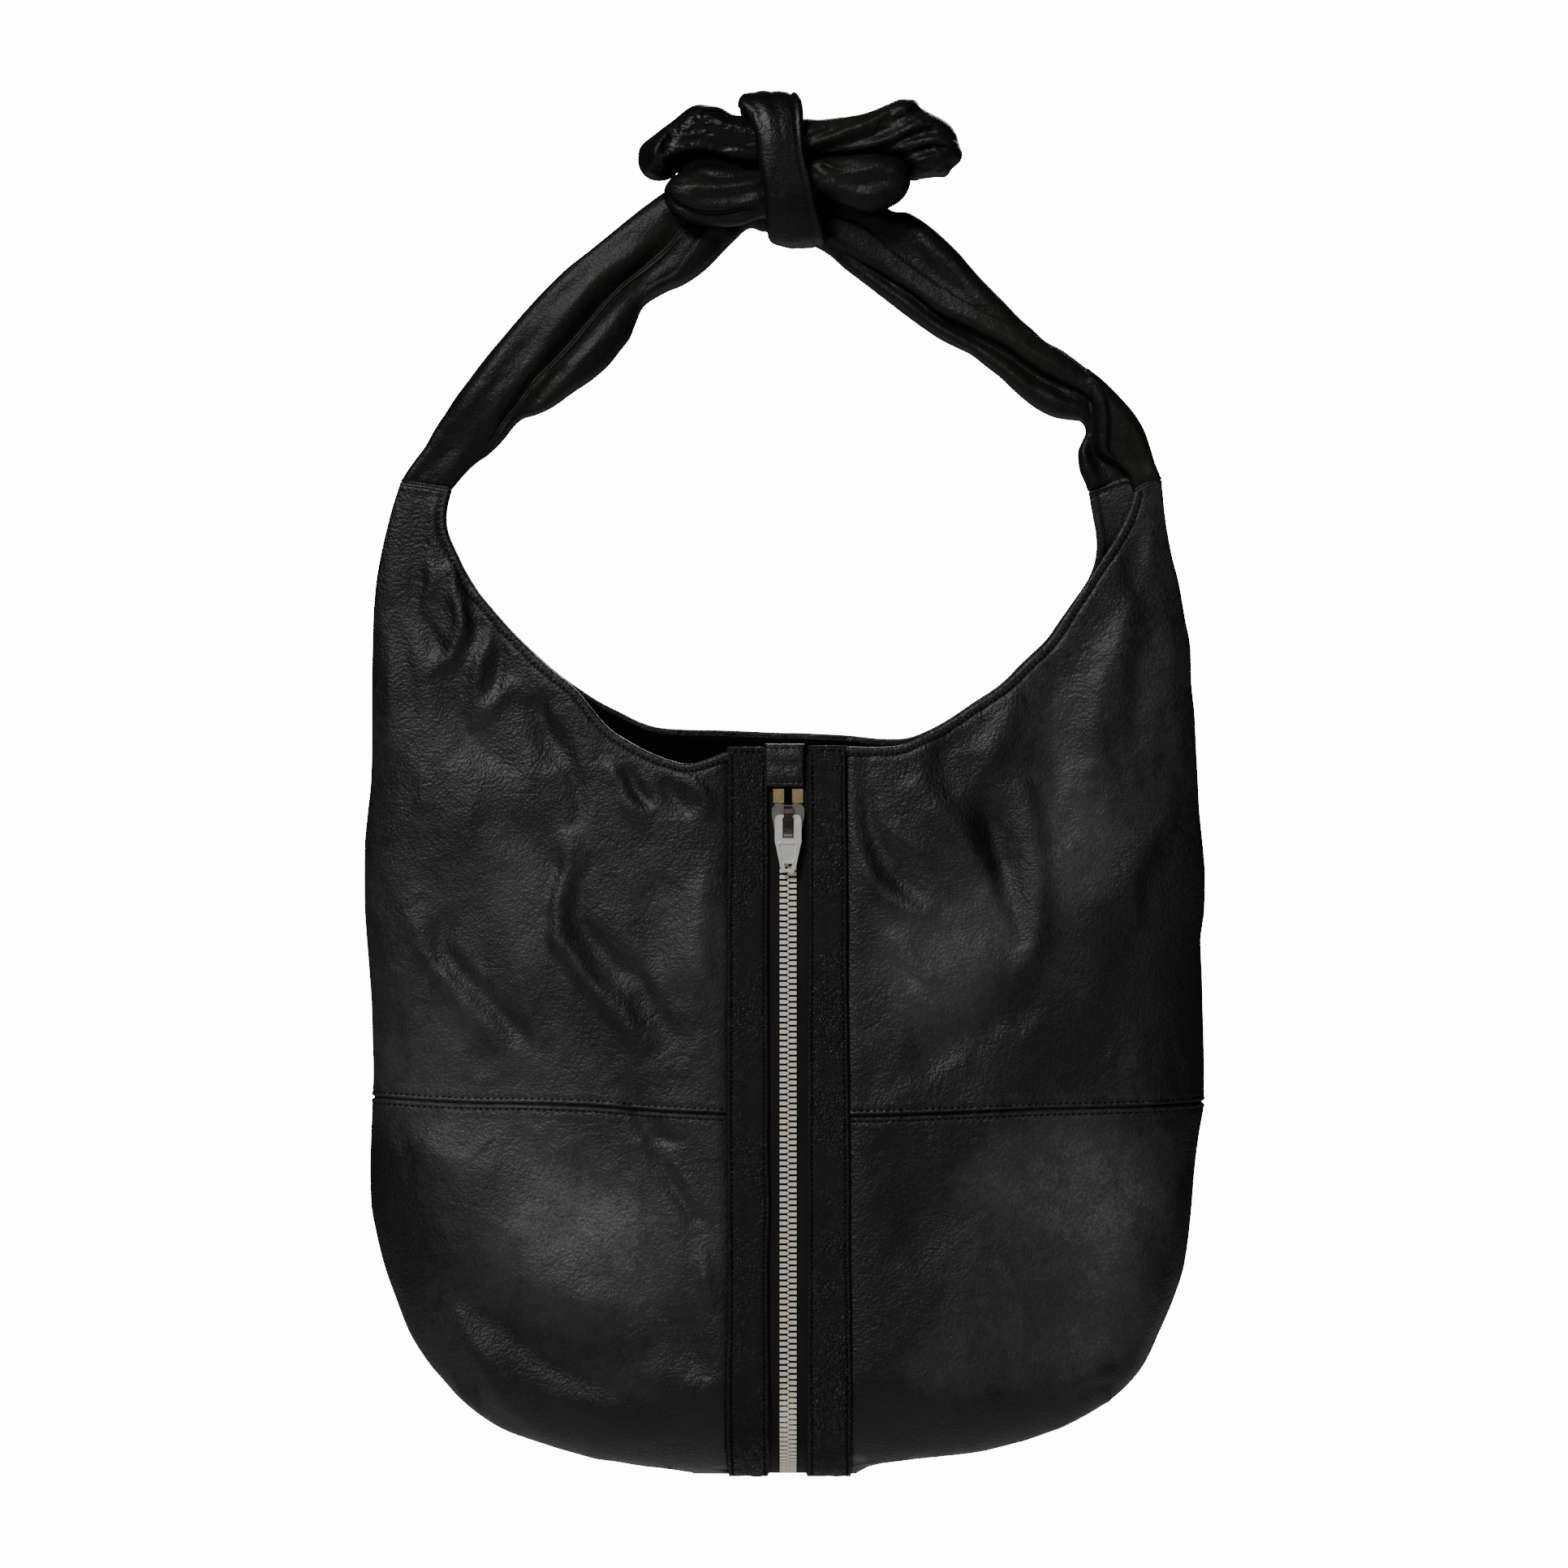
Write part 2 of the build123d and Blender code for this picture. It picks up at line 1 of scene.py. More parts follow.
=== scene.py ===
"""Hobo bag in soft black leather: looks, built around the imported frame.
Lengths in this script are millimetres measured up from the bag's lowest point, turned into metres when a mesh is made."""
import bpy, math
import numpy as np
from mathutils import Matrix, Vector, geometry


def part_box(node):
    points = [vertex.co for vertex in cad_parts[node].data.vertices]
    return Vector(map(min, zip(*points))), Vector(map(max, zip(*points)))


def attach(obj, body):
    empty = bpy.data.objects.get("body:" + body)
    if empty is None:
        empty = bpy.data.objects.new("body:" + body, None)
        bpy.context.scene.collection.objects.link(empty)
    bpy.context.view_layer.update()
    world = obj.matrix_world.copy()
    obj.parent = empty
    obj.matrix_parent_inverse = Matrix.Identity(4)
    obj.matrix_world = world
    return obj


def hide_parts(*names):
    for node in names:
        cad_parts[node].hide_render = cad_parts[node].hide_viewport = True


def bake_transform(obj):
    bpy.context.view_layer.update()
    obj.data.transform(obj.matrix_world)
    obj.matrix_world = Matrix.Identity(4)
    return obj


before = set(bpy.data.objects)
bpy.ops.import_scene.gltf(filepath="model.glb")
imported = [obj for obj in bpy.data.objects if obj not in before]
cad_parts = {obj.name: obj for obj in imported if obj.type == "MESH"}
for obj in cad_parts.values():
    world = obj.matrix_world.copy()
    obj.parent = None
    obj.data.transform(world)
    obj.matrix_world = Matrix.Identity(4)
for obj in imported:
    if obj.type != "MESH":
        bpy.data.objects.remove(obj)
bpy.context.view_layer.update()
RAISE = -float(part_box("zip_facing_left")[0][2]) * 1000.0 - 0.6      # hang point above the lowest point of the bag
PI = math.pi


# ------------------------------------------------------------------ numeric helpers
def pchip(xs, ys):
    """Smooth interpolation through a table, with no overshoot."""
    xs, ys = np.asarray(xs, float), np.asarray(ys, float)
    h = np.diff(xs)
    d = np.diff(ys) / h
    m = np.zeros_like(xs)
    m[0], m[-1] = d[0], d[-1]
    for i in range(1, len(xs) - 1):
        if d[i - 1] * d[i] > 0:
            w1, w2 = 2 * h[i] + h[i - 1], h[i] + 2 * h[i - 1]
            m[i] = (w1 + w2) / (w1 / d[i - 1] + w2 / d[i])

    def f(x):
        x = np.clip(np.asarray(x, float), xs[0], xs[-1])
        k = np.clip(np.searchsorted(xs, x, side="right") - 1, 0, len(xs) - 2)
        t = (x - xs[k]) / h[k]
        return ((1 + 2 * t) * (1 - t) ** 2 * ys[k] + t * (1 - t) ** 2 * h[k] * m[k]
                + t * t * (3 - 2 * t) * ys[k + 1] + t * t * (t - 1) * h[k] * m[k + 1])
    return f


def vnoise(p, seed=0):
    """Smooth value noise in -1..1 at points p (N, 3)."""
    p = np.asarray(p, float)
    i = np.floor(p).astype(np.int64)
    f = p - i
    u = f * f * f * (f * (f * 6 - 15) + 10)
    out = np.zeros(len(p))
    for dx in (0, 1):
        for dy in (0, 1):
            for dz in (0, 1):
                h = (i[:, 0] + dx) * 73856093 ^ (i[:, 1] + dy) * 19349663 ^ (i[:, 2] + dz) * 83492791 ^ (seed * 1013904223)
                h = (h ^ (h >> 13)) * 1274126177 & 0x7FFFFFFF
                h = (h ^ (h >> 16)) * 668265263 & 0x7FFFFFFF
                v = (h & 0xFFFFF) / 524287.5 - 1.0
                out += v * (u[:, 0] if dx else 1 - u[:, 0]) * (u[:, 1] if dy else 1 - u[:, 1]) * (u[:, 2] if dz else 1 - u[:, 2])
    return out


def fbm(p, octaves=3, seed=0):
    out, a, total = 0.0, 1.0, 0.0
    p = np.asarray(p, float)
    for o in range(octaves):
        out = out + a * vnoise(p * 2.03 ** o + 17.1 * o, seed + o)
        total += a
        a *= 0.5
    return out / total


def smooth(t):
    t = np.clip(t, 0, 1)
    return t * t * (3 - 2 * t)


def catmull(pts, closed=False, step=1.5):
    """Smooth curve through points, resampled to even steps."""
    pts = np.asarray(pts, float)
    n = len(pts)
    rows = []
    span = range(n if closed else n - 1)
    for i in span:
        if closed:
            p0, p1, p2, p3 = pts[(i - 1) % n], pts[i], pts[(i + 1) % n], pts[(i + 2) % n]
        else:
            p1, p2 = pts[i], pts[i + 1]
            p0 = pts[i - 1] if i else 2 * p1 - p2
            p3 = pts[i + 2] if i + 2 < n else 2 * p2 - p1
        # centripetal knots: no loops or overshoot where points are unevenly spaced
        d1, d2, d3 = (max(np.linalg.norm(b - a), 1e-6) ** 0.5 for a, b in ((p0, p1), (p1, p2), (p2, p3)))
        t0, t1 = 0.0, d1
        t2 = t1 + d2
        t3 = t2 + d3
        t = np.linspace(t1, t2, 12, endpoint=False)[:, None]
        a1 = (t1 - t) / (t1 - t0) * p0 + (t - t0) / (t1 - t0) * p1
        a2 = (t2 - t) / (t2 - t1) * p1 + (t - t1) / (t2 - t1) * p2
        a3 = (t3 - t) / (t3 - t2) * p2 + (t - t2) / (t3 - t2) * p3
        b1 = (t2 - t) / (t2 - t0) * a1 + (t - t0) / (t2 - t0) * a2
        b2 = (t3 - t) / (t3 - t1) * a2 + (t - t1) / (t3 - t1) * a3
        rows.append((t2 - t) / (t2 - t1) * b1 + (t - t1) / (t2 - t1) * b2)
    rows.append((pts[:1] if closed else pts[-1:]))
    return resample(np.vstack(rows), step)


def resample(c, step):
    c = np.asarray(c, float)
    s = np.concatenate([[0], np.cumsum(np.linalg.norm(np.diff(c, axis=0), axis=1))])
    n = max(2, int(round(s[-1] / step)) + 1)
    q = np.linspace(0, s[-1], n)
    return np.stack([np.interp(q, s, c[:, k]) for k in range(c.shape[1])], axis=1)


def to_line(p, line):
    """Distance of points p (N, 2) to a polyline, the share of its length at the nearest place, and the side (+1 left)."""
    p, line = np.asarray(p, float), np.asarray(line, float)
    seg = np.diff(line, axis=0)
    ln = np.maximum(np.linalg.norm(seg, axis=1), 1e-9)
    s0 = np.concatenate([[0], np.cumsum(ln)])
    best = np.full(len(p), 1e9)
    share = np.zeros(len(p))
    side = np.zeros(len(p))
    for k in range(len(seg)):
        v = p - line[k]
        t = np.clip((v @ seg[k]) / ln[k] ** 2, 0, 1)
        q = v - t[:, None] * seg[k]
        d = np.hypot(q[:, 0], q[:, 1])
        hit = d < best
        best = np.where(hit, d, best)
        share = np.where(hit, (s0[k] + t * ln[k]) / s0[-1], share)
        side = np.where(hit, np.sign(seg[k][0] * v[:, 1] - seg[k][1] * v[:, 0]), side)
    return best, share, side


def inside(p, loop):
    x, y = p[:, 0], p[:, 1]
    got = np.zeros(len(p), bool)
    n = len(loop)
    for i in range(n):
        x0, y0 = loop[i]
        x1, y1 = loop[(i + 1) % n]
        if y0 == y1:
            continue
        hit = ((y0 > y) != (y1 > y)) & (x < (x1 - x0) * (y - y0) / (y1 - y0) + x0)
        got ^= hit
    return got


def region(loop, h, rows, extra=None):
    """Triangles filling a closed outline: even spacing h inside, finer rows parallel to the outline near it."""
    loop = np.asarray(loop, float)
    if np.linalg.norm(loop[0] - loop[-1]) < 1e-6:
        loop = loop[:-1]
    area = 0.5 * np.sum(loop[:, 0] * np.roll(loop[:, 1], -1) - np.roll(loop[:, 0], -1) * loop[:, 1])
    if area < 0:
        loop = loop[::-1]
    closed = np.vstack([loop, loop[:1]])
    e = np.diff(closed, axis=0)
    e /= np.maximum(np.linalg.norm(e, axis=1, keepdims=True), 1e-9)
    nrm = np.stack([-e[:, 1], e[:, 0]], axis=1)
    vn = nrm + np.roll(nrm, 1, axis=0)
    vn /= np.maximum(np.linalg.norm(vn, axis=1, keepdims=True), 1e-9)
    pts = [loop]
    step = np.mean(np.linalg.norm(np.diff(closed, axis=0), axis=1))
    for k, r in enumerate(rows):
        want = min(h, max(step, 0.8 * (r + 0.6)))
        every = max(1, int(round(want / step)))
        q = (loop + vn * r)[(k % 2) * (every // 2)::every]
        d, _, _ = to_line(q, closed)
        ok = (d > r * 0.93) & inside(q, loop)
        pts.append(q[ok])
    lo, hi = loop.min(0), loop.max(0)
    gy = np.arange(lo[1], hi[1] + h, h * 0.866)
    grid = []
    for j, yy in enumerate(gy):
        gx = np.arange(lo[0] + (0.5 * h if j % 2 else 0), hi[0] + h, h)
        grid.append(np.stack([gx, np.full(len(gx), yy)], axis=1))
    grid = np.vstack(grid)
    grid = grid[inside(grid, loop)]
    far = rows[-1] + 0.62 * h if len(rows) else 0.6 * h
    d, _, _ = to_line(grid, closed)
    grid = grid[d > far]
    if extra is not None and len(extra):
        # points that follow creases, so that their edges come out crisp
        d, _, _ = to_line(extra, closed)
        extra = extra[inside(extra, loop) & (d > 0.35)]
        kept, seen = [], set()
        for q in extra:
            key = (round(q[0] / 0.3), round(q[1] / 0.3))
            if key not in seen:
                seen.add(key)
                kept.append(q)
        extra = np.array(kept)
        base = np.vstack(pts[1:] + [grid])
        cells = {}
        for q in extra:
            cells.setdefault((int(q[0] // 1.0), int(q[1] // 1.0)), []).append(q)
        ok = np.ones(len(base), bool)
        for k, q in enumerate(base):
            a, b = int(q[0] // 1.0), int(q[1] // 1.0)
            for i in (a - 1, a, a + 1):
                for j in (b - 1, b, b + 1):
                    for r in cells.get((i, j), ()):
                        if (r[0] - q[0]) ** 2 + (r[1] - q[1]) ** 2 < 0.36:
                            ok[k] = False
        pts = [pts[0], base[ok], extra]
    else:
        pts.append(grid)
    allp = np.vstack(pts)
    got = geometry.delaunay_2d_cdt([Vector((float(a), float(b))) for a, b in allp], [], [list(range(len(loop)))], 1, 1e-5)
    v = np.array([[q[0], q[1]] for q in got[0]])
    f = [list(t) for t in got[2]]
    return v, f


def border(faces):
    """Outline edges of a patch, in face order, as a successor map."""
    seen = {}
    for f in faces:
        for a, b in zip(f, f[1:] + f[:1]):
            seen[(a, b)] = True
    return {a: b for (a, b) in seen if (b, a) not in seen}


pieces = {}


def mesh(name, verts, faces, material, body, smooth_shade=True):
    v = np.array(verts, float)
    v[:, 2] -= RAISE
    v *= 0.001
    me = bpy.data.meshes.new(name)
    me.from_pydata([tuple(p) for p in v.tolist()], [], faces)
    me.validate(verbose=False)
    me.update()
    if smooth_shade:
        me.polygons.foreach_set("use_smooth", [True] * len(me.polygons))
    ob = bpy.data.objects.new(name, me)
    bpy.context.scene.collection.objects.link(ob)
    me.materials.append(material)
    if body:
        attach(ob, body)
    pieces[name] = ob
    return ob


def shell(outer, normals, faces, thick, bulge=0.3):
    """Close a patch into a sheet of leather: outer face, inner face and a rounded cut edge."""
    outer = np.asarray(outer, float)
    n = len(outer)
    nxt = border(faces)
    prev = {b: a for a, b in nxt.items()}
    inner = outer - normals * thick
    ring = list(nxt.keys())
    at_ring = {v: 2 * n + k for k, v in enumerate(ring)}
    mid = []
    for v in ring:
        t = outer[nxt[v]] - outer[prev.get(v, v)]
        t /= max(np.linalg.norm(t), 1e-9)
        away = np.cross(t, normals[v])
        mid.append(outer[v] - normals[v] * thick * 0.5 + away * thick * bulge)
    verts = np.vstack([outer, inner, np.array(mid).reshape(-1, 3)])
    out = [list(f) for f in faces] + [[n + i for i in reversed(f)] for f in faces]
    for a in ring:
        b = nxt[a]
        if a in at_ring and b in at_ring:
            out.append([b, a, at_ring[a], at_ring[b]])
            out.append([at_ring[b], at_ring[a], n + a, n + b])
    return verts, out


# ------------------------------------------------------------------ the bag's overall form
BOT_R, TILT, T_Z = 46.0, math.radians(5.1242), 50.108
ARC = BOT_R * (PI / 2 + TILT)
EDGE_L = pchip([0, 0.8, 1.9, 3.8, 5.7, 9.5, 13.3, 20.9, 28.5, 36.1, 43.7, 51.3, 66.5, 81.7, 96.9, 112.1, 127.3, 142.5, 157.7, 172.9, 188.1, 203.3, 218.5, 233.7,
                248.9, 264.1, 279.3, 294.5, 309.7, 324.9, 340.1, 355.3, 370.5, 385.7, 400.9, 416.1, 431.3, 450.3, 457.9, 465.5, 480],
               [-44, -49, -55.1, -70.7, -80.9, -99.6, -112.5, -133.8, -145.9, -154.7, -161.5, -168.0, -177.5, -183.5, -188.9, -192.7, -195.3, -195.7, -195.3, -194.6, -194.2, -194.6, -195.0, -196.0,
                -197.2, -198.2, -198.4, -198.2, -196.8, -195.3, -194.9, -194.9, -194.9, -194.6, -194.2, -193.0, -190.4, -185.8, -183.5, -180.6, -176])
EDGE_R = pchip([0, 0.8, 1.9, 3.8, 5.7, 9.5, 13.3, 20.9, 28.5, 36.1, 43.7, 51.3, 66.5, 81.7, 96.9, 112.1, 127.3, 142.5, 157.7, 172.9, 188.1, 203.3, 218.5, 233.7,
                248.9, 264.1, 279.3, 294.5, 309.7, 324.9, 340.1, 355.3, 370.5, 385.7, 400.9, 416.1, 431.3, 450.3, 457.9, 465.5, 480],
               [32, 33.5, 35.5, 40.0, 49.5, 83.2, 102.2, 126.2, 141.7, 153.1, 161.1, 166.8, 174.0, 180.5, 185.4, 187.7, 189.2, 190.4, 192.3, 194.6, 194.9, 194.6, 194.2, 193.8,
                193.2, 195.0, 195.3, 194.2, 192.7, 191.9, 191.1, 190.4, 188.9, 188.5, 185.8, 183.2, 179.4, 176.3, 175.6, 174.6, 173])
DEPTH = pchip([50.1, 90, 172.9, 250, 338, 371, 401, 431, 450, 466, 480], [45.82, 42.25, 34.8, 27.9, 20.0, 16.4, 13.1, 9.9, 8.0, 6.6, 6.0])
_phi = np.linspace(-PI / 2, PI / 2, 721)
_arc = np.concatenate([[0], np.cumsum(np.hypot(194 * np.diff(np.sin(_phi)), 33 * np.diff(np.cos(_phi))))])
_arc -= _arc[-1] / 2
W_MAX = _arc[-1]


def z_of(t):
    t = np.asarray(t, float)
    return np.where(t < ARC, BOT_R - BOT_R * np.cos(np.clip(t, 0, ARC) / BOT_R), T_Z + (t - ARC) * math.cos(TILT))


def t_of(z):
    z = np.asarray(z, float)
    return np.where(z < T_Z, BOT_R * np.arccos(np.clip((BOT_R - z) / BOT_R, -1, 1)), ARC + (z - T_Z) / math.cos(TILT))


def phi_of(w):
    return np.interp(w, _arc, _phi)


def form(w, t, side):
    """Point of the plain bag at (w around, t up), side -1 front, +1 back."""
    z = z_of(t)
    a, c = (EDGE_R(z) - EDGE_L(z)) / 2, (EDGE_R(z) + EDGE_L(z)) / 2
    b = np.where(t < ARC, BOT_R * np.sin(np.clip(t, 0, ARC) / BOT_R), DEPTH(z))
    f = phi_of(w)
    return np.stack([c + a * np.sin(f), side * b * np.cos(f), z], axis=1)


def dom(x, z):
    """(w, t) of front-view points."""
    x, z = np.asarray(x, float), np.asarray(z, float)
    a, c = (EDGE_R(z) - EDGE_L(z)) / 2, (EDGE_R(z) + EDGE_L(z)) / 2
    f = np.arcsin(np.clip((x - c) / a, -1, 1))
    return np.stack([np.interp(f, _phi, _arc), t_of(z)], axis=1)


def form_normal(w, t, side):
    w, t = np.asarray(w, float), np.asarray(t, float)
    e = 0.4
    du = form(np.clip(w + e, -W_MAX, W_MAX), t, side) - form(np.clip(w - e, -W_MAX, W_MAX), t, side)
    dv = form(w, t + e, side) - form(w, np.maximum(t - e, 0.0), side)
    n = np.cross(du, dv) * (1 if side < 0 else -1)
    ln = np.linalg.norm(n, axis=1, keepdims=True)
    flat = ln[:, 0] < 1e-6
    n = n / np.maximum(ln, 1e-9)
    n[flat] = (0, 0, -1)
    # at the outline and the bottom both sides share one outward normal
    rim = np.abs(w) > W_MAX - 0.5
    n[rim] = np.stack([np.sign(w[rim]) * np.ones(rim.sum()), np.zeros(rim.sum()), n[rim, 2] * 0 - 0.0], axis=1) if rim.any() else n[rim]
    if rim.any():
        # lean the rim's normal with the outline
        z0, z1 = z_of(np.maximum(t[rim] - 1, 0)), z_of(t[rim] + 1)
        edge = EDGE_R if True else EDGE_L
        x0 = np.where(w[rim] > 0, EDGE_R(z0), EDGE_L(z0))
        x1 = np.where(w[rim] > 0, EDGE_R(z1), EDGE_L(z1))
        tx, tz = x1 - x0, z1 - z0
        s = np.sign(w[rim])
        m = np.stack([tz * s, np.zeros_like(tz), -tx * s], axis=1)
        n[rim] = m / np.maximum(np.linalg.norm(m, axis=1, keepdims=True), 1e-9)
    low = t < 0.6
    n[low] = (0, 0, -1)
    return n


# ------------------------------------------------------------------ materials
class Nodes:
    """Small helper for node trees."""
    def __init__(self, name):
        self.m = bpy.data.materials.new(name)
        self.m.use_nodes = True
        self.t = self.m.node_tree
        self.bsdf = self.t.nodes["Principled BSDF"]
        self.co = self.t.nodes.new("ShaderNodeTexCoord").outputs["Object"]

    def node(self, kind, inputs=(), **props):
        n = self.t.nodes.new(kind)
        for k, v in props.items():
            setattr(n, k, v)
        for k, v in dict(inputs).items():
            if isinstance(v, bpy.types.NodeSocket):
                self.t.links.new(v, n.inputs[k])
            else:
                n.inputs[k].default_value = v
        return n

    def noise(self, scale, detail=3.0, rough=0.55, distort=0.0, co=None):
        return self.node("ShaderNodeTexNoise", {"Vector": co or self.co, "Scale": scale, "Detail": detail, "Roughness": rough, "Distortion": distort}).outputs["Fac"]

    def voronoi(self, scale, feature="F1", out="Distance", co=None, rand=1.0):
        n = self.node("ShaderNodeTexVoronoi", {"Vector": co or self.co, "Scale": scale, "Randomness": rand}, feature=feature)
        return n.outputs[out]

    def ramp(self, fac, stops):
        n = self.node("ShaderNodeValToRGB", {"Fac": fac})
        e = n.color_ramp.elements
        while len(e) < len(stops):
            e.new(0.5)
        for k, (p, c) in enumerate(stops):
            e[k].position = p
            e[k].color = (c, c, c, 1) if isinstance(c, (int, float)) else (*c, 1)
        return n.outputs["Color"]

    def math(self, op, a, b=None, c=None):
        ins = {0: a}
        if b is not None:
            ins[1] = b
        if c is not None:
            ins[2] = c
        return self.node("ShaderNodeMath", ins, operation=op).outputs[0]

    def range(self, v, a, b, c, d):
        return self.node("ShaderNodeMapRange", {"Value": v, "From Min": a, "From Max": b, "To Min": c, "To Max": d}).outputs["Result"]

    def bump(self, height, strength, dist, normal=None):
        ins = {"Height": height, "Strength": strength, "Distance": dist}
        if normal is not None:
            ins["Normal"] = normal
        return self.node("ShaderNodeBump", ins).outputs["Normal"]

    def mix(self, fac, a, b):
        n = self.node("ShaderNodeMix", data_type="RGBA")
        for sock, v in ((n.inputs[0], fac), (n.inputs[6], a), (n.inputs[7], b)):
            if isinstance(v, bpy.types.NodeSocket):
                self.t.links.new(v, sock)
            else:
                sock.default_value = v if isinstance(v, (int, float)) else (*v, 1)
        return n.outputs[2]

    def stretch(self, s, rot=(0, 0, 0)):
        return self.node("ShaderNodeMapping", {"Vector": self.co, "Scale": s, "Rotation": rot}).outputs["Vector"]

    def set(self, **kw):
        for k, v in kw.items():
            k = k.replace("_", " ")
            if isinstance(v, bpy.types.NodeSocket):
                self.t.links.new(v, self.bsdf.inputs[k])
            else:
                self.bsdf.inputs[k].default_value = v if not isinstance(v, tuple) or len(v) == 4 else (*v, 1)
        return self.m


PAINTED_LIGHT_POOLS = [  # painted pools of light (+) and painted shade (-), among them a darker band along the bottom where the bag curves under: middle x, z, half widths, turn, amount
    (-103, 121.6, 72.2, 60.8, 0, 0.62), (-141, 180.5, 64.6, 36.1, 0.1, 0.34), (-53.6, 112.1, 41.8, 72.2, 0, 0.22),
    (-156.2, 222.3, 30.4, 34.2, 0, 0.24), (-123.9, 275.5, 26.6, 68.4, 0, 0.26), (-46, 252.7, 34.2, 38, 0, 0.28),
    (-156.2, 340.1, 30.4, 30.4, 0, 0.22), (-65, 43.7, 64.6, 26.6, 0, 0.16), (69.9, 241.3, 36.1, 57, 0, 0.46),
    (130.7, 305.9, 26.6, 57, 0.1, 0.46), (96.5, 260.3, 34.2, 30.4, 0, 0.15), (128.8, 131.1, 57, 45.6, 0, 0.52),
    (153.5, 81.7, 45.6, 41.8, 0, 0.26), (92.7, 62.7, 60.8, 30.4, 0, 0.2), (125, 351.5, 22.8, 30.4, 0, 0.18),
    (-95.4, 195.7, 45.6, 22.8, 0.3, 0.16), (-186.6, 347.7, 19, 60.8, 0, 0.1), (60.4, 150.1, 57, 49.4, 0, -0.3),
    (109.8, 199.5, 57, 34.2, 0, -0.26), (185.8, 184.3, 30.4, 125.4, 0, -0.28), (-34.6, 336.3, 45.6, 30.4, 0, -0.3),
    (-190.4, 123.5, 26.6, 49.4, 0, -0.18), (60.4, 328.7, 34.2, 41.8, 0, -0.24), (-65, 218.5, 45.6, 34.2, 0, -0.16),
    (37.6, 81.7, 26.6, 60.8, 0, -0.22), (-156.2, 127.3, 22.8, 41.8, 0.5, -0.12), (159.2, 252.7, 34.2, 53.2, 0, -0.16),
    (-176.0, 440.0, 60.0, 100.0, 0, -0.60), (0.0, 0.0, 210.0, 60.0, 0, -0.70), (136.0, 102.0, 66.0, 60.0, 0, 0.20),
    (58.0, 100.0, 30.0, 52.0, 0, -0.26), (-96.0, 122.0, 60.0, 56.0, 0, 0.10), (-36.0, 380.0, 70.0, 26.0, 0, -0.2),
]


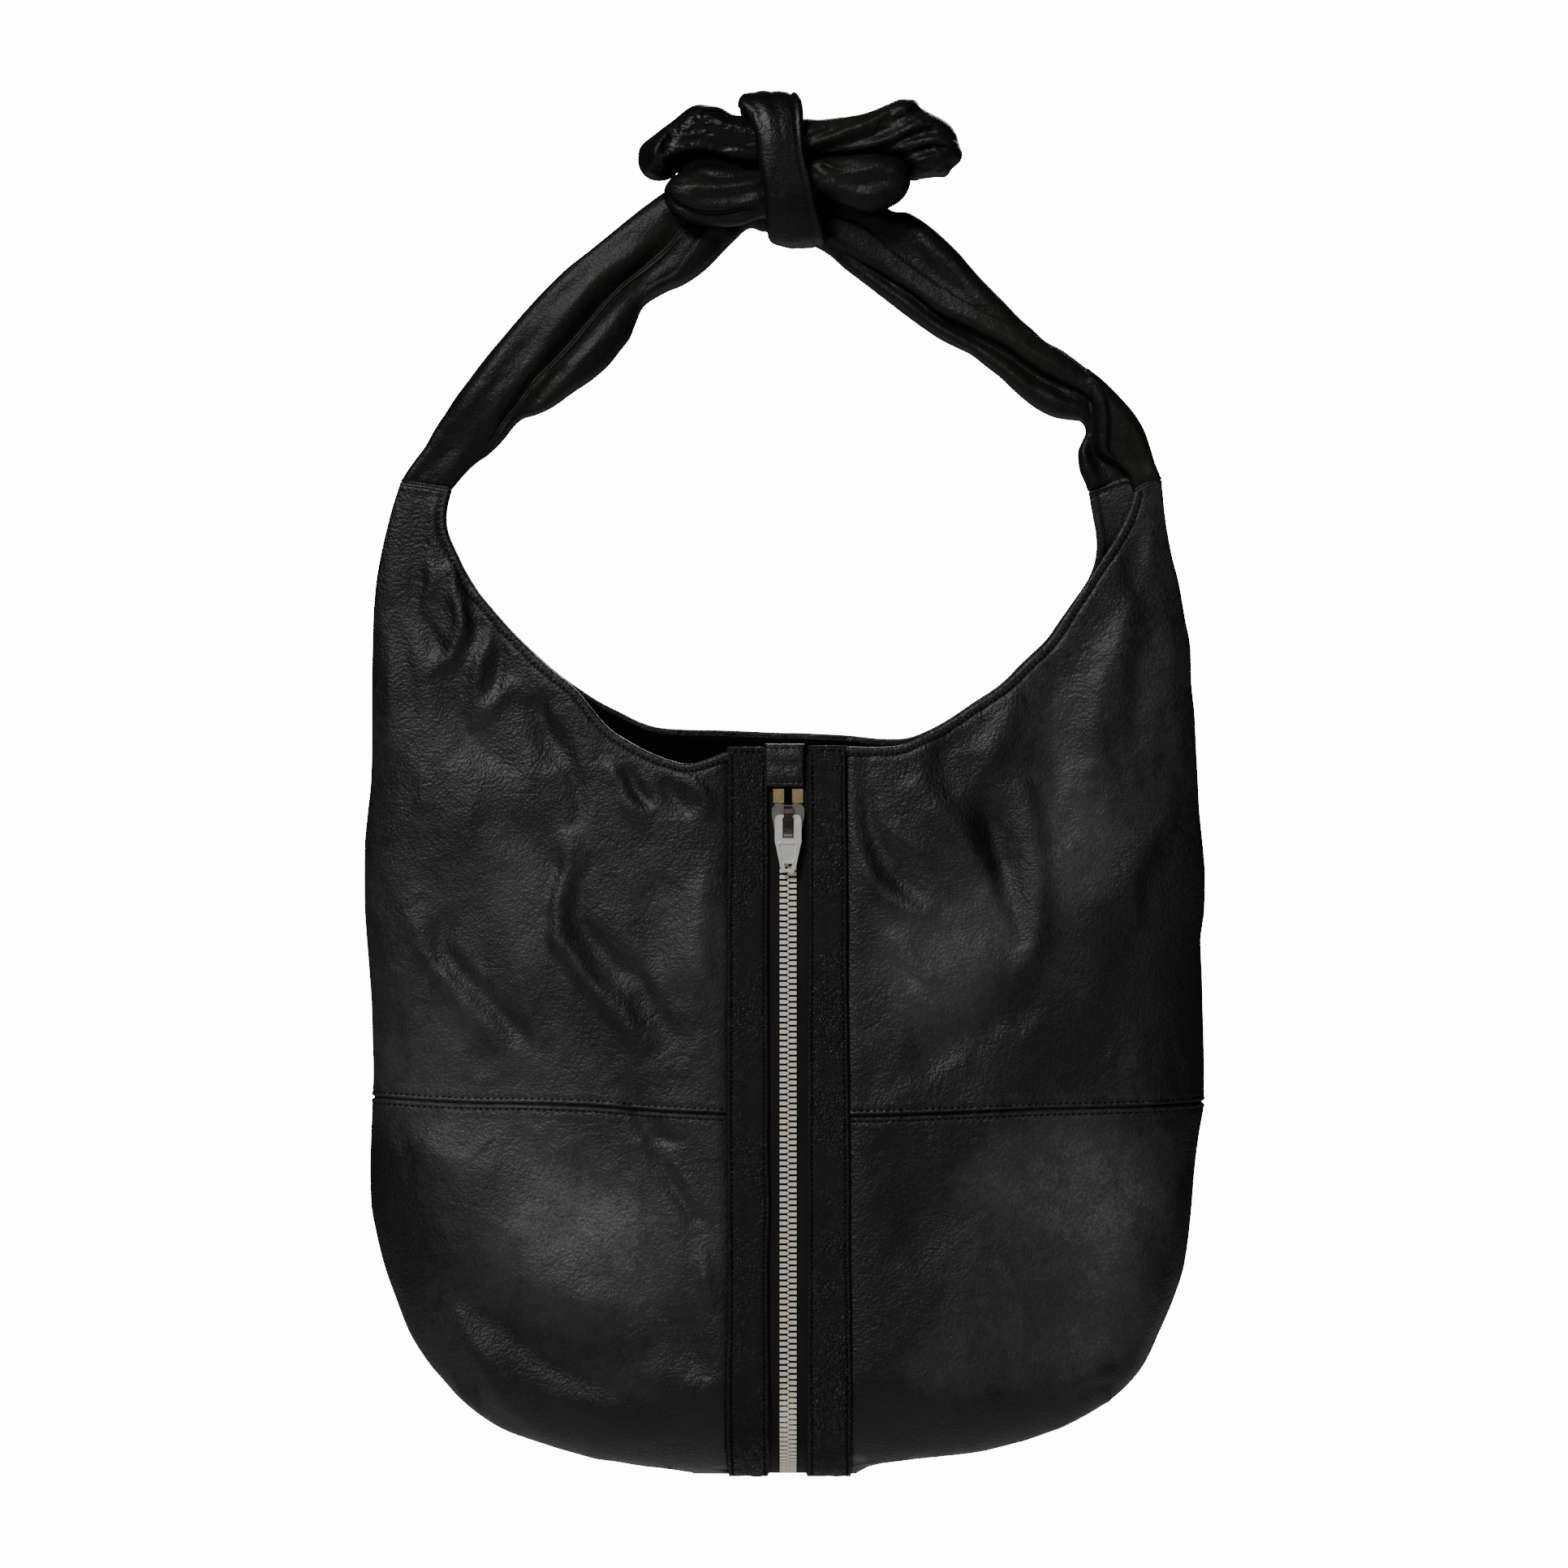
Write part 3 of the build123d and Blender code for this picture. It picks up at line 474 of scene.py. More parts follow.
def leather(name, tones, rough=(0.46, 0.60), grain=0.5, crease=0.25, painted_pools=True, lean=0.0, mottle=0.5, shine=0.30):
    n = Nodes(name)
    tone = n.noise(9.0, 4, 0.6, 0.4)
    fine = n.noise(170.0, 3, 0.6)
    flecks = n.noise(560.0, 2, 0.6)
    level = n.math("MULTIPLY_ADD", n.math("SUBTRACT", tone, 0.5), mottle, 0.372 + lean)
    level = n.math("MULTIPLY_ADD", n.math("SUBTRACT", fine, 0.5), 0.20, level)
    level = n.math("MULTIPLY_ADD", n.math("SUBTRACT", flecks, 0.5), 0.16, level)
    if painted_pools:
        drift = n.node("ShaderNodeVectorMath", {0: n.node("ShaderNodeTexNoise", {"Vector": n.co, "Scale": 14.0, "Detail": 3.0}).outputs["Color"], 1: (0.5, 0.5, 0.5)}, operation="SUBTRACT").outputs[0]
        drift = n.node("ShaderNodeVectorMath", {0: drift, 1: (0.075, 0.0, 0.075)}, operation="MULTIPLY").outputs[0]
        where = n.node("ShaderNodeVectorMath", {0: n.co, 1: drift}, operation="ADD").outputs[0]
        # painted highlight pools and painted shade, added to the leather's tone
        for x, z, rx, rz, turn, amount in PAINTED_LIGHT_POOLS:
            at = n.node("ShaderNodeMapping", {"Vector": where, "Location": (x / 1000, 0.0, (z - RAISE) / 1000), "Rotation": (0, turn, 0), "Scale": (rx / 1000, 1e3, rz / 1000)}, vector_type="TEXTURE").outputs[0]
            painted_spot = n.node("ShaderNodeTexGradient", {"Vector": at}, gradient_type="SPHERICAL").outputs["Fac"]
            painted_spot = n.node("ShaderNodeMapRange", {"Value": painted_spot, "From Min": 0.0, "From Max": 0.8}, interpolation_type="SMOOTHSTEP").outputs["Result"]
            level = n.math("MULTIPLY_ADD", painted_spot, amount * 0.52, level)
    # painted glints: a grain-sized speckle lightens the cells' middles and darkens their edges, strongest where the
    # tone is high, in the painted highlight pools
    painted_glints = n.voronoi(820.0, "F1")
    level = n.math("MULTIPLY_ADD", n.math("MULTIPLY", n.math("SUBTRACT", 0.52, painted_glints), n.math("MULTIPLY", level, level)), 0.4, level)
    colour = n.ramp(level, [(0.0, tones[0]), (0.32, tones[1]), (0.62, tones[2]), (1.0, tones[3])])
    # pores and pebbles about a millimetre across, with softer ones at twice the size
    warp = n.noise(420.0, 2, 0.5)
    peb = n.voronoi(950.0, "SMOOTH_F1")
    peb2 = n.voronoi(430.0, "F1")
    pores = n.noise(2300.0, 2, 0.6)
    h = n.math("MULTIPLY_ADD", peb, -0.8, n.math("MULTIPLY", peb2, -0.38))
    h = n.math("MULTIPLY_ADD", pores, 0.35, h)
    h = n.math("MULTIPLY_ADD", warp, 0.32, h)
    # fine creases that run with the hide
    bend = n.node("ShaderNodeVectorMath", {0: n.node("ShaderNodeTexNoise", {"Vector": n.co, "Scale": 45.0, "Detail": 4.0}).outputs["Color"], 1: (0.02, 0.02, 0.02)}, operation="MULTIPLY").outputs[0]
    lines = n.voronoi(70.0, "DISTANCE_TO_EDGE", co=n.node("ShaderNodeVectorMath", {0: n.co, 1: bend}, operation="ADD").outputs[0])
    folds = n.ramp(lines, [(0.0, 0.0), (0.10, 1.0)])
    where = n.ramp(n.noise(17.0, 3, 0.6), [(0.45, 0.0), (0.62, 1.0)])
    folds = n.mix(where, (1, 1, 1), folds)
    nb = n.bump(h, grain, 0.00035)
    nb = n.bump(folds, crease, 0.0004, nb)
    nb = n.bump(n.noise(75.0, 4, 0.6, 0.6), 0.07, 0.0016, nb)
    r = n.range(n.math("MULTIPLY_ADD", fine, 0.4, n.math("MULTIPLY", tone, 0.6)), 0.3, 0.7, rough[0], rough[1])
    return n.set(Base_Color=colour, Roughness=r, Normal=nb, Specular_IOR_Level=shine)


LEATHER = leather("soft_black_leather", ((0.0007, 0.0012, 0.0009), (0.0048, 0.0066, 0.0053), (0.0340, 0.0374, 0.0347), (0.142, 0.148, 0.142)), (0.38, 0.52), 1.0, 0.3, shine=0.36)
STRAP_LEATHER = leather("strap_leather", ((0.0014, 0.0018, 0.0014), (0.0048, 0.0056, 0.0045), (0.0155, 0.0172, 0.0136), (0.046, 0.049, 0.041)), (0.38, 0.54), 0.7, 0.35, painted_pools=False, mottle=0.8, shine=0.20)
KNOT_LEATHER = leather("knot_leather", ((0.0012, 0.0013, 0.0015), (0.0034, 0.0036, 0.0040), (0.0095, 0.0099, 0.0106), (0.025, 0.0255, 0.027)), (0.34, 0.48), 0.6, 0.4, painted_pools=False, mottle=0.7, shine=0.22)


def crackled(name):
    """Waxed strip whose finish has crazed into small glossy domes, in patches, with matt suede-like ground between."""
    n = Nodes(name)
    warp = n.node("ShaderNodeTexNoise", {"Vector": n.co, "Scale": 140.0, "Detail": 4.0}).outputs["Color"]
    co = n.node("ShaderNodeVectorMath", {0: n.co, 1: n.node("ShaderNodeVectorMath", {0: warp, 1: (0.004, 0.004, 0.004)}, operation="MULTIPLY").outputs[0]}, operation="ADD").outputs[0]
    flat = n.node("ShaderNodeVectorMath", {0: co, 1: (1.0, 0.25, 1.0)}, operation="MULTIPLY").outputs[0]
    cells = n.node("ShaderNodeTexVoronoi", {"Vector": flat, "Scale": 720.0}, feature="F1")
    edge = n.voronoi(720.0, "DISTANCE_TO_EDGE", co=flat)
    crack = n.ramp(edge, [(0.0, 0.0), (0.20, 1.0)])
    pick = n.ramp(n.node("ShaderNodeSeparateColor", {"Color": cells.outputs["Color"]}).outputs[0], [(0.25, 0.15), (0.95, 1.0)])
    patch = n.ramp(n.noise(30.0, 4, 0.62, 0.3), [(0.40, 0.04), (0.60, 1.0)])
    # crazed, glossy cells in the patches: lower roughness, and a lighter greenish-grey colour that is partly the crazed
    # finish and partly painted highlight on the domes
    crazing_and_highlight = n.math("MULTIPLY", n.math("MULTIPLY", pick, patch), crack)
    colour = n.mix(crazing_and_highlight, (0.0010, 0.0014, 0.0011), (0.022, 0.026, 0.0215))
    dust = n.ramp(n.noise(55.0, 3, 0.6), [(0.5, 0.0), (0.72, 0.5)])
    colour = n.mix(dust, colour, (0.007, 0.008, 0.0068))
    rough = n.range(crazing_and_highlight, 0.0, 1.0, 0.85, 0.24)
    fuzz = n.noise(1900.0, 3, 0.7)
    nb = n.bump(fuzz, 0.35, 0.0003)
    dome = n.math("MULTIPLY", n.math("SUBTRACT", 1.0, n.math("MULTIPLY", cells.outputs["Distance"], 1.2)), patch)
    nb = n.bump(dome, 1.0, 0.0010, nb)
    nb = n.bump(n.math("MULTIPLY", crack, patch), 0.5, 0.0004, nb)
    nb = n.bump(n.noise(60.0, 4, 0.6), 0.5, 0.0022, nb)
    return n.set(Base_Color=colour, Roughness=rough, Normal=nb, Specular_IOR_Level=0.36)


FACING = crackled("cracked_facing_leather")


def woven(name, dark, light, pitch, herring=False, sheen=0.15, shine=0.3):
    n = Nodes(name)
    sx = n.node("ShaderNodeSeparateXYZ", {"Vector": n.co})
    x, z = sx.outputs["X"], sx.outputs["Z"]
    if herring:
        zig = n.math("PINGPONG", x, 0.0017)
        run = n.math("ADD", z, zig)
        rib = n.math("SINE", n.math("MULTIPLY", run, 2 * PI / pitch))
    else:
        a = n.math("SINE", n.math("MULTIPLY", x, 2 * PI / pitch))
        b = n.math("SINE", n.math("MULTIPLY", z, 2 * PI / pitch))
        rib = n.math("MULTIPLY", a, b)
    fibre = n.noise(2600.0, 3, 0.7)
    tone = n.noise(30.0, 3, 0.6)
    v = n.math("MULTIPLY_ADD", rib, 0.30, n.math("MULTIPLY", fibre, 0.7))
    colour = n.mix(n.ramp(v, [(0.15, 0.0), (0.75, 1.0)]), dark, light)
    nb = n.bump(rib, 0.5, 0.0003)
    nb = n.bump(fibre, 0.3, 0.0002, nb)
    return n.set(Base_Color=colour, Roughness=n.range(tone, 0.3, 0.7, 0.75, 0.92), Normal=nb, Sheen_Weight=sheen, Sheen_Roughness=0.6, Specular_IOR_Level=shine)


TAPE = woven("zip_tape_herringbone", (0.0022, 0.0024, 0.0024), (0.010, 0.0105, 0.0105), 0.0011, True, sheen=0.05, shine=0.2)
CLOTH = woven("lining_cloth", (0.0008, 0.0008, 0.0007), (0.0028, 0.0027, 0.0026), 0.0008, sheen=0.01, shine=0.05)


def thread(name):
    n = Nodes(name)
    sx = n.node("ShaderNodeSeparateXYZ", {"Vector": n.co})
    ply = n.math("SINE", n.math("MULTIPLY", n.math("ADD", n.math("ADD", sx.outputs["X"], sx.outputs["Z"]), sx.outputs["Y"]), 2 * PI / 0.0007))
    tone = n.noise(900.0, 2, 0.6)
    colour = n.mix(tone, (0.0012, 0.0012, 0.0011), (0.0035, 0.0035, 0.0033))
    return n.set(Base_Color=colour, Roughness=n.range(tone, 0.3, 0.7, 0.62, 0.8), Normal=n.bump(ply, 0.4, 0.0002), Specular_IOR_Level=0.12)


THREAD = thread("black_thread")


def metal(name, a, b, rough, scratch=0.25, metallic=1.0):
    n = Nodes(name)
    tone = n.noise(55.0, 4, 0.6)
    fine = n.noise(900.0, 3, 0.6)
    lines = n.noise(700.0, 3, 0.6, co=n.stretch((1, 1, 0.06)))
    colour = n.mix(n.ramp(tone, [(0.35, 0.0), (0.68, 1.0)]), a, b)
    r = n.range(n.math("MULTIPLY_ADD", fine, 0.5, n.math("MULTIPLY", tone, 0.5)), 0.3, 0.7, rough[0], rough[1])
    nb = n.bump(lines, scratch, 0.00012)
    nb = n.bump(n.noise(240.0, 3, 0.5), 0.2, 0.0004, nb)
    return n.set(Base_Color=colour, Metallic=metallic, Roughness=r, Normal=nb)


TEETH = metal("zip_teeth_pale_nickel", (1.0, 0.97, 0.88), (1.0, 0.90, 0.66), (0.28, 0.40), 0.15, 0.4)
NICKEL = metal("worn_nickel", (0.98, 0.97, 0.95), (0.70, 0.68, 0.65), (0.28, 0.42), 0.4, 0.6)
COVER = metal("slider_cover_nickel", (0.50, 0.42, 0.36), (0.20, 0.15, 0.125), (0.14, 0.26), 0.2)
BRASS = metal("dull_brass", (0.72, 0.55, 0.28), (0.50, 0.36, 0.17), (0.28, 0.46), 0.3)
# the slider body's nickel: the same metal as the pull tab, darkened as painted shade under the tab
SHADED_BODY_NICKEL = metal("slider_body_nickel_painted_shade", (0.46, 0.44, 0.42), (0.30, 0.28, 0.26), (0.28, 0.40), 0.4)
STEEL = metal("spring_steel", (0.52, 0.52, 0.52), (0.38, 0.38, 0.38), (0.28, 0.42), 0.3)

for node_name, m in (("zip_teeth_left", TEETH), ("zip_teeth_right", TEETH), ("zip_bottom_stop", NICKEL), ("zip_top_stops", BRASS),
                     ("zip_slider_body", SHADED_BODY_NICKEL), ("zip_slider_cover", COVER), ("zip_lock_spring", STEEL), ("zip_pull_tab", NICKEL),
                     ("zip_tape_left", TAPE), ("zip_tape_right", TAPE)):
    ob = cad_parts[node_name]
    if not ob.material_slots:
        ob.data.materials.append(m)
    for k in range(len(ob.material_slots)):
        ob.material_slots[k].material = m


# ------------------------------------------------------------------ folds pressed into the bag's leather
# each: points (x, height), depth (+ ridge, - valley), width on its left and on its right
FOLDS = [
    # upper left, below the shoulder
    ([(-168.3, 450.3), (-171.4, 423.3), (-174.4, 407), (-168.3, 394.8), (-160.4, 381.1)], -3.0, 4.0, 6.0),
    ([(-173.7, 465.5), (-183.5, 438.5), (-186.6, 423.7), (-187.3, 408.5)], 1.6, 5.0, 5.0),
    ([(-161.9, 457.9), (-166.8, 438.9), (-167.6, 423.7), (-166.1, 408.5)], 2.2, 3.2, 3.6),
    ([(-159.2, 427.5), (-155, 415.3), (-152, 403.2), (-155, 386.8), (-163, 375.1)], 2.4, 3.6, 5.2),
    ([(-156.2, 435.9), (-149.3, 416.1), (-144, 400.9), (-144.8, 385.7)], -1.6, 3.0, 4.0),
    ([(-139.5, 395.2), (-144.8, 368.6), (-142.5, 355.3)], 1.8, 3.4, 4.2),
    ([(-136.4, 397.1), (-134.1, 378.1), (-136.4, 359.1)], -1.4, 3.0, 3.0),
    ([(-127.3, 371.3), (-140.6, 355.3), (-148.6, 347.7)], 1.6, 4.0, 4.4),
    ([(-120.5, 364.8), (-115.1, 353.4), (-109.1, 339.7), (-106.8, 328.7)], -2.2, 4.0, 6.0),
    ([(-109.1, 355.3), (-103, 336.3), (-96.9, 315.4), (-98.4, 302.1)], -1.6, 4.0, 5.0),
    ([(-179, 423.7), (-181.3, 400.9), (-179, 374.3), (-175.2, 347.7)], -1.0, 6.0, 6.0),
    ([(-165.3, 374.3), (-156.2, 355.3), (-141, 336.3), (-125.8, 326.8)], -1.2, 7.0, 6.0),
    ([(-190.4, 400.9), (-188.1, 370.5), (-188.9, 336.3)], 1.4, 6.0, 7.0),
    # upper left, middle
    ([(-103, 302.1), (-102.2, 284.2), (-104.9, 269.8), (-104.9, 249.7), (-98, 238.6), (-81.3, 218.5), (-65, 197.2)], 3.0, 7.0, 4.6),
    ([(-94.6, 290.7), (-95.8, 275.1), (-96.9, 258.4), (-83.6, 244), (-68, 227.2), (-51.7, 201.4)], -2.6, 5.0, 8.0),
    ([(-156.2, 264.1), (-162.6, 249.7), (-153.9, 236.4), (-139.5, 222.7), (-123.9, 207.1), (-115.1, 195.7)], -1.8, 5.0, 6.0),
    ([(-171.4, 267.9), (-168.3, 247.4), (-155, 227.2), (-139.5, 210.5), (-130.3, 195.7)], 1.8, 5.0, 6.0),
    ([(-84.7, 333.3), (-77.9, 322.6), (-72.6, 312), (-65, 305.9)], 1.8, 3.4, 4.0),
    ([(-76, 330.6), (-70.7, 319.2), (-62.7, 313.5)], -2.0, 3.0, 4.4),
    ([(-49, 327.9), (-44.5, 322.6), (-37.6, 315.4), (-33.1, 305.9)], 1.7, 3.0, 3.6),
    ([(-57.4, 324.9), (-51.3, 315), (-42.2, 308.9)], -1.5, 3.6, 3.6),
    ([(-33.1, 286.9), (-39.1, 271.7), (-42.9, 248.9), (-40.7, 222.3)], 1.6, 9.0, 8.0),
    ([(-57.4, 279.3), (-65, 264.1), (-60.4, 241.3), (-49.8, 218.5)], -1.2, 8.0, 8.0),
    ([(-141, 309.7), (-118.2, 294.5), (-103, 271.7)], -1.0, 9.0, 9.0),
    ([(-186.6, 294.5), (-179, 264.1), (-179, 226.1), (-171.4, 195.7)], 1.2, 9.0, 9.0),
    # lower left
    ([(-79.4, 187.3), (-70.7, 175.9), (-61.2, 161.5), (-54.3, 142.5), (-41.4, 120.5), (-37.6, 96.9)], -2.8, 6.0, 5.0),
    ([(-65, 165.3), (-55.1, 150.1), (-46, 134.1), (-34.6, 119.7)], 2.0, 4.0, 5.0),
    ([(-69.5, 162.3), (-59.3, 159.2), (-46.7, 157.3)], -1.2, 2.2, 2.2),
    ([(-41.4, 121.6), (-38.4, 101.5), (-33.8, 81.7)], 1.8, 4.0, 4.0),
    ([(-157.7, 96.9), (-150.5, 84), (-134.9, 73), (-107.2, 52.8), (-81.3, 41.8), (-55.5, 29.3)], -3.0, 9.0, 9.0),
    ([(-125.8, 96.9), (-106.8, 87.4), (-85.9, 79.4), (-65, 62.7)], 2.2, 12.0, 10.0),
    ([(-160.7, 85.5), (-153.9, 75.6), (-143.6, 58.9), (-130.3, 38.4), (-112.5, 23.9)], 2.2, 6.0, 6.0),
    ([(-103, 153.9), (-95.4, 138.7), (-96.9, 119.7), (-106.8, 108.3)], -1.2, 9.0, 9.0),
    ([(-171.4, 157.7), (-156.2, 146.3), (-133.4, 142.5)], 1.2, 10.0, 10.0),
    ([(-49.8, 81.7), (-46, 62.7), (-34.6, 47.5)], -1.4, 6.0, 6.0),
    ([(-156.2, 47.5), (-150.9, 39.1), (-147.1, 32.3)], 1.6, 2.0, 2.0),
    ([(-149.3, 47.5), (-144.8, 39.1), (-142.5, 30.8)], -1.6, 1.8, 1.8),
    # upper right
    ([(85.5, 336.3), (90.1, 315.4), (97.7, 290.7), (104.1, 266), (109.1, 247)], -3.4, 7.0, 7.0),
    ([(56.6, 324.9), (68, 310.8), (88.5, 286.1), (98.8, 268.3), (105.3, 247)], 1.8, 8.0, 6.0),
    ([(110.6, 324.9), (114, 301.7), (116.3, 277.4), (114.8, 257.3), (108.3, 237.5), (96.5, 228)], 2.6, 6.0, 8.0),
    ([(31.5, 338.2), (33.8, 324.9), (39.5, 299.4), (54, 277.4), (66.1, 270.9)], -2.2, 5.0, 6.0),
    ([(27.7, 302.1), (33.8, 286.9), (43.3, 274.7), (55.9, 265.2), (69.9, 261.8)], 1.6, 5.0, 5.0),
    ([(91.6, 305.9), (88.5, 324.9), (97.7, 345.8), (110.6, 362.1)], 2.2, 6.0, 7.0),
    ([(75.6, 347.7), (71.8, 332.5), (76.4, 315.4)], -1.5, 6.0, 6.0),
    ([(46, 252.7), (55.1, 246.6), (61.9, 237.5), (71.8, 233.7)], 1.1, 3.0, 3.0),
    ([(43.7, 244.3), (52.8, 237.5), (58.9, 229.1)], -1.1, 3.0, 3.0),
    ([(56.6, 226.1), (68, 220), (75.6, 210.1)], 0.8, 4.0, 4.0),
    ([(123.1, 231.8), (102.2, 218.5), (82.1, 204.8), (48.6, 188.1)], -2.0, 12.0, 12.0),
    ([(176.7, 324.9), (174.4, 309.7), (165.7, 290.7), (160, 272.5), (161.5, 252.7)], 1.8, 6.0, 9.0),
    ([(162.3, 410.4), (156.2, 389.9), (147.8, 373.5), (142.9, 353.4), (144.8, 324.9)], 2.4, 9.0, 7.0),
    ([(170.6, 423.7), (167.6, 393.3), (163, 362.9), (163.8, 324.9)], -1.4, 8.0, 8.0),
    ([(182.8, 400.9), (182, 366.7), (184.3, 324.9)], 1.4, 7.0, 7.0),
    ([(160, 446.5), (163, 427.5), (160, 412.3)], -1.6, 4.0, 5.0),
    ([(168.3, 457.1), (169.9, 438.9), (172.1, 416.1)], 1.4, 4.0, 4.0),
    ([(128.8, 378.1), (121.2, 355.3), (125, 324.9), (129.6, 294.5)], -1.5, 9.0, 9.0),
    ([(140.2, 279.3), (144, 248.9), (136.4, 218.5), (125, 195.7)], 1.2, 12.0, 12.0),
    ([(49, 305.9), (56.6, 294.5), (68, 287.7)], 1.0, 5.0, 5.0),
    # lower right
    ([(41.4, 157.7), (56.6, 142.5), (60.4, 119.7), (56.6, 96.9)], -1.5, 12.0, 12.0),
    ([(151.6, 131.1), (160, 108.3), (162.3, 81.7), (153.9, 58.9)], 2.2, 14.0, 16.0),
    ([(125, 42.6), (136.4, 46.4), (150.9, 51.3)], 1.2, 4.0, 4.0),
    ([(79.4, 119.7), (98.4, 96.9), (121.2, 77.9)], 1.4, 14.0, 14.0),
    ([(87, 66.5), (109.8, 58.9), (136.4, 62.7)], -1.2, 12.0, 10.0),
    ([(145.5, 43.7), (148.6, 35.3), (150.1, 28.5)], 1.4, 2.0, 2.0),
    ([(150.1, 43.7), (153.1, 35.3)], -1.2, 1.8, 1.8),
]
SWELLS = [  # broad fullness: (x, height), half widths, depth
    ([(-141, 119.7)][0], 42, 34, 3.0), ([(-106.8, 142.5)][0], 40, 30, -1.2), ([(159.2, 96.9)][0], 30, 45, 3.2), ([(64.2, 66.5)][0], 40, 30, 2.0),
    ([(-42.2, 237.5)][0], 18, 30, 2.4), ([(-156.2, 309.7)][0], 36, 30, 2.6), ([(163, 362.9)][0], 22, 60, 3.2), ([(56.6, 309.7)][0], 30, 30, 1.2),
    ([(83.2, 241.3)][0], 34, 26, 1.6), ([(-179, 362.9)][0], 18, 40, 1.6), ([(-80.2, 66.5)][0], 50, 22, -1.5), ([(170.6, 214.7)][0], 24, 60, 1.5),
    ([(-125.8, 241.3)][0], 30, 30, 1.4), ([(90.8, 150.1)][0], 50, 26, 1.2),
]


def relief(x, z, side):
    """Folds, swells and small unevenness of the leather, out from the plain form."""
    x, z = np.asarray(x, float), np.asarray(z, float)
    out = np.zeros(len(x))
    p = np.stack([x, z], axis=1)
    if side < 0:
        q = p + np.stack([fbm(np.stack([x / 17, z / 17, 0 * x], 1), 2, 5), fbm(np.stack([x / 17, z / 17, 0 * x + 9], 1), 2, 6)], 1) * 2.2
        for pts, amp, wl, wr in FOLDS:
            line = catmull(pts, step=5.0)
            near = (p[:, 0] > line[:, 0].min() - 40) & (p[:, 0] < line[:, 0].max() + 40) & (p[:, 1] > line[:, 1].min() - 40) & (p[:, 1] < line[:, 1].max() + 40)
            if not near.any():
                continue
            d, share, sd = to_line(q[near], line)
            w = np.where(sd > 0, wl, wr)
            fade = np.sin(np.clip(share, 0, 1) * PI) ** 0.55
            out[near] += 1.3 * amp * fade * np.exp(-(d / w) ** 2)
        for (cx, cz), rx, rz, amp in SWELLS:
            out += amp * np.exp(-((x - cx) / rx) ** 2 - ((z - cz) / rz) ** 2)
    else:
        # the back hangs in long soft folds from both shoulders towards the bottom
        u = x / 195
        run = np.abs(u) * 60 + z * 0.25
        a = fbm(np.stack([(x + np.sign(x) * (z - 200) * 0.25) / 30, z / 120, 0 * x + 3], 1), 3, 21)
        ridge = 1 - np.abs(fbm(np.stack([(x - np.sign(x) * (z - 330) * 0.35) / 42, z / 110, 0 * x + 7], 1), 2, 31))
        out += 2.4 * a + 3.2 * (ridge ** 4 - 0.35) * (0.4 + 0.6 * smooth((z - 60) / 200))
        out += 3.0 * np.exp(-((x - 60) / 70) ** 2 - ((z - 90) / 45) ** 2) + 2.0 * np.exp(-((x + 80) / 60) ** 2 - ((z - 120) / 55) ** 2)
        for x0, z0, x1, z1, amp, w in ((-150, 420, -60, 250, -2.6, 8), (-120, 395, -100, 240, 2.2, 8), (150, 425, 90, 260, -2.4, 9), (165, 400, 140, 230, 2.2, 9),
                                       (-40, 300, 30, 200, -2.0, 10), (20, 330, 70, 230, 2.0, 9), (-170, 150, -90, 60, -2.4, 10), (150, 140, 60, 50, -2.2, 11), (-30, 150, 60, 95, 1.8, 12)):
            line = np.array([(x0, z0), ((x0 + x1) / 2 + 9, (z0 + z1) / 2), (x1, z1)])
            d, share, sd = to_line(p, catmull(line, step=8))
            out += amp * np.sin(share * PI) ** 0.6 * np.exp(-(d / w) ** 2)
    s = 0 if side < 0 else 50
    out += 1.3 * fbm(np.stack([x / 34, z / 60, 0 * x + s], 1), 3, 11)
    crease = 1 - np.abs(fbm(np.stack([x / 15 + z / 60, z / 34 - x / 70, 0 * x + s + 4], 1), 3, 41))
    gate = smooth((fbm(np.stack([x / 45, z / 45, 0 * x + s], 1), 2, 51) + 0.15) / 0.5)
    out += 0.75 * (crease ** 6) * gate
    out += 0.22 * fbm(np.stack([x / 6, z / 8, 0 * x + s], 1), 2, 61)
    return out


def lay(w, t, side, extra=0.0):
    """Points and normals of the folded leather at (w, t)."""
    w, t = np.asarray(w, float), np.asarray(t, float)
    p = form(w, t, side)
    n = form_normal(w, t, side)
    r = relief(p[:, 0], p[:, 2], side)
    ease = smooth((W_MAX - np.abs(w)) / 16) * smooth(t / 14)
    if side < 0:
        ease = ease * (0.12 + 0.88 * smooth((np.abs(p[:, 0]) - 28) / 12))
    half = np.abs(p[:, 1])
    r = np.where(r < 0, r * np.clip((half - 2.0) / 10, 0.1, 1), r * np.clip(half / 8, 0.25, 1))
    return p + n * (r * ease + extra)[:, None], n


NECK_L = [(-158.1, 460.2), (-160, 453.3), (-160.7, 446.9), (-160, 441.2), (-158.1, 435.9), (-155.4, 430.2), (-152.8, 424.5), (-149.3, 418.4), (-144.8, 411.5), (-139.1, 404.7), (-132.6, 397.1), (-124.3, 388.4), (-110.2, 375.1), (-99.9, 367.1), (-83.6, 348.1), (-74.1, 342), (-65.7, 337.4), (-56.2, 333.6), (-46.7, 331.4), (-38.4, 333.3), (-30.8, 336.3), (-25.1, 338.2), (-15.6, 339.7), (-7.6, 341.2), (0, 341.6)]
NECK_R = [(0, 341.6), (7.6, 341.2), (16.7, 340.5), (25.1, 339.7), (33.8, 339.3), (43.3, 339.3), (52.4, 340.1), (60.4, 343.5), (69.9, 348.5), (79.4, 354.2), (87, 359.5), (94.2, 364), (101.1, 369), (110.2, 378.1), (122, 389.5), (127.7, 397.9), (138.3, 414.2), (146.3, 426.4), (152.4, 435.5), (156.9, 443.5), (160.4, 451.4), (162.6, 459.4)]
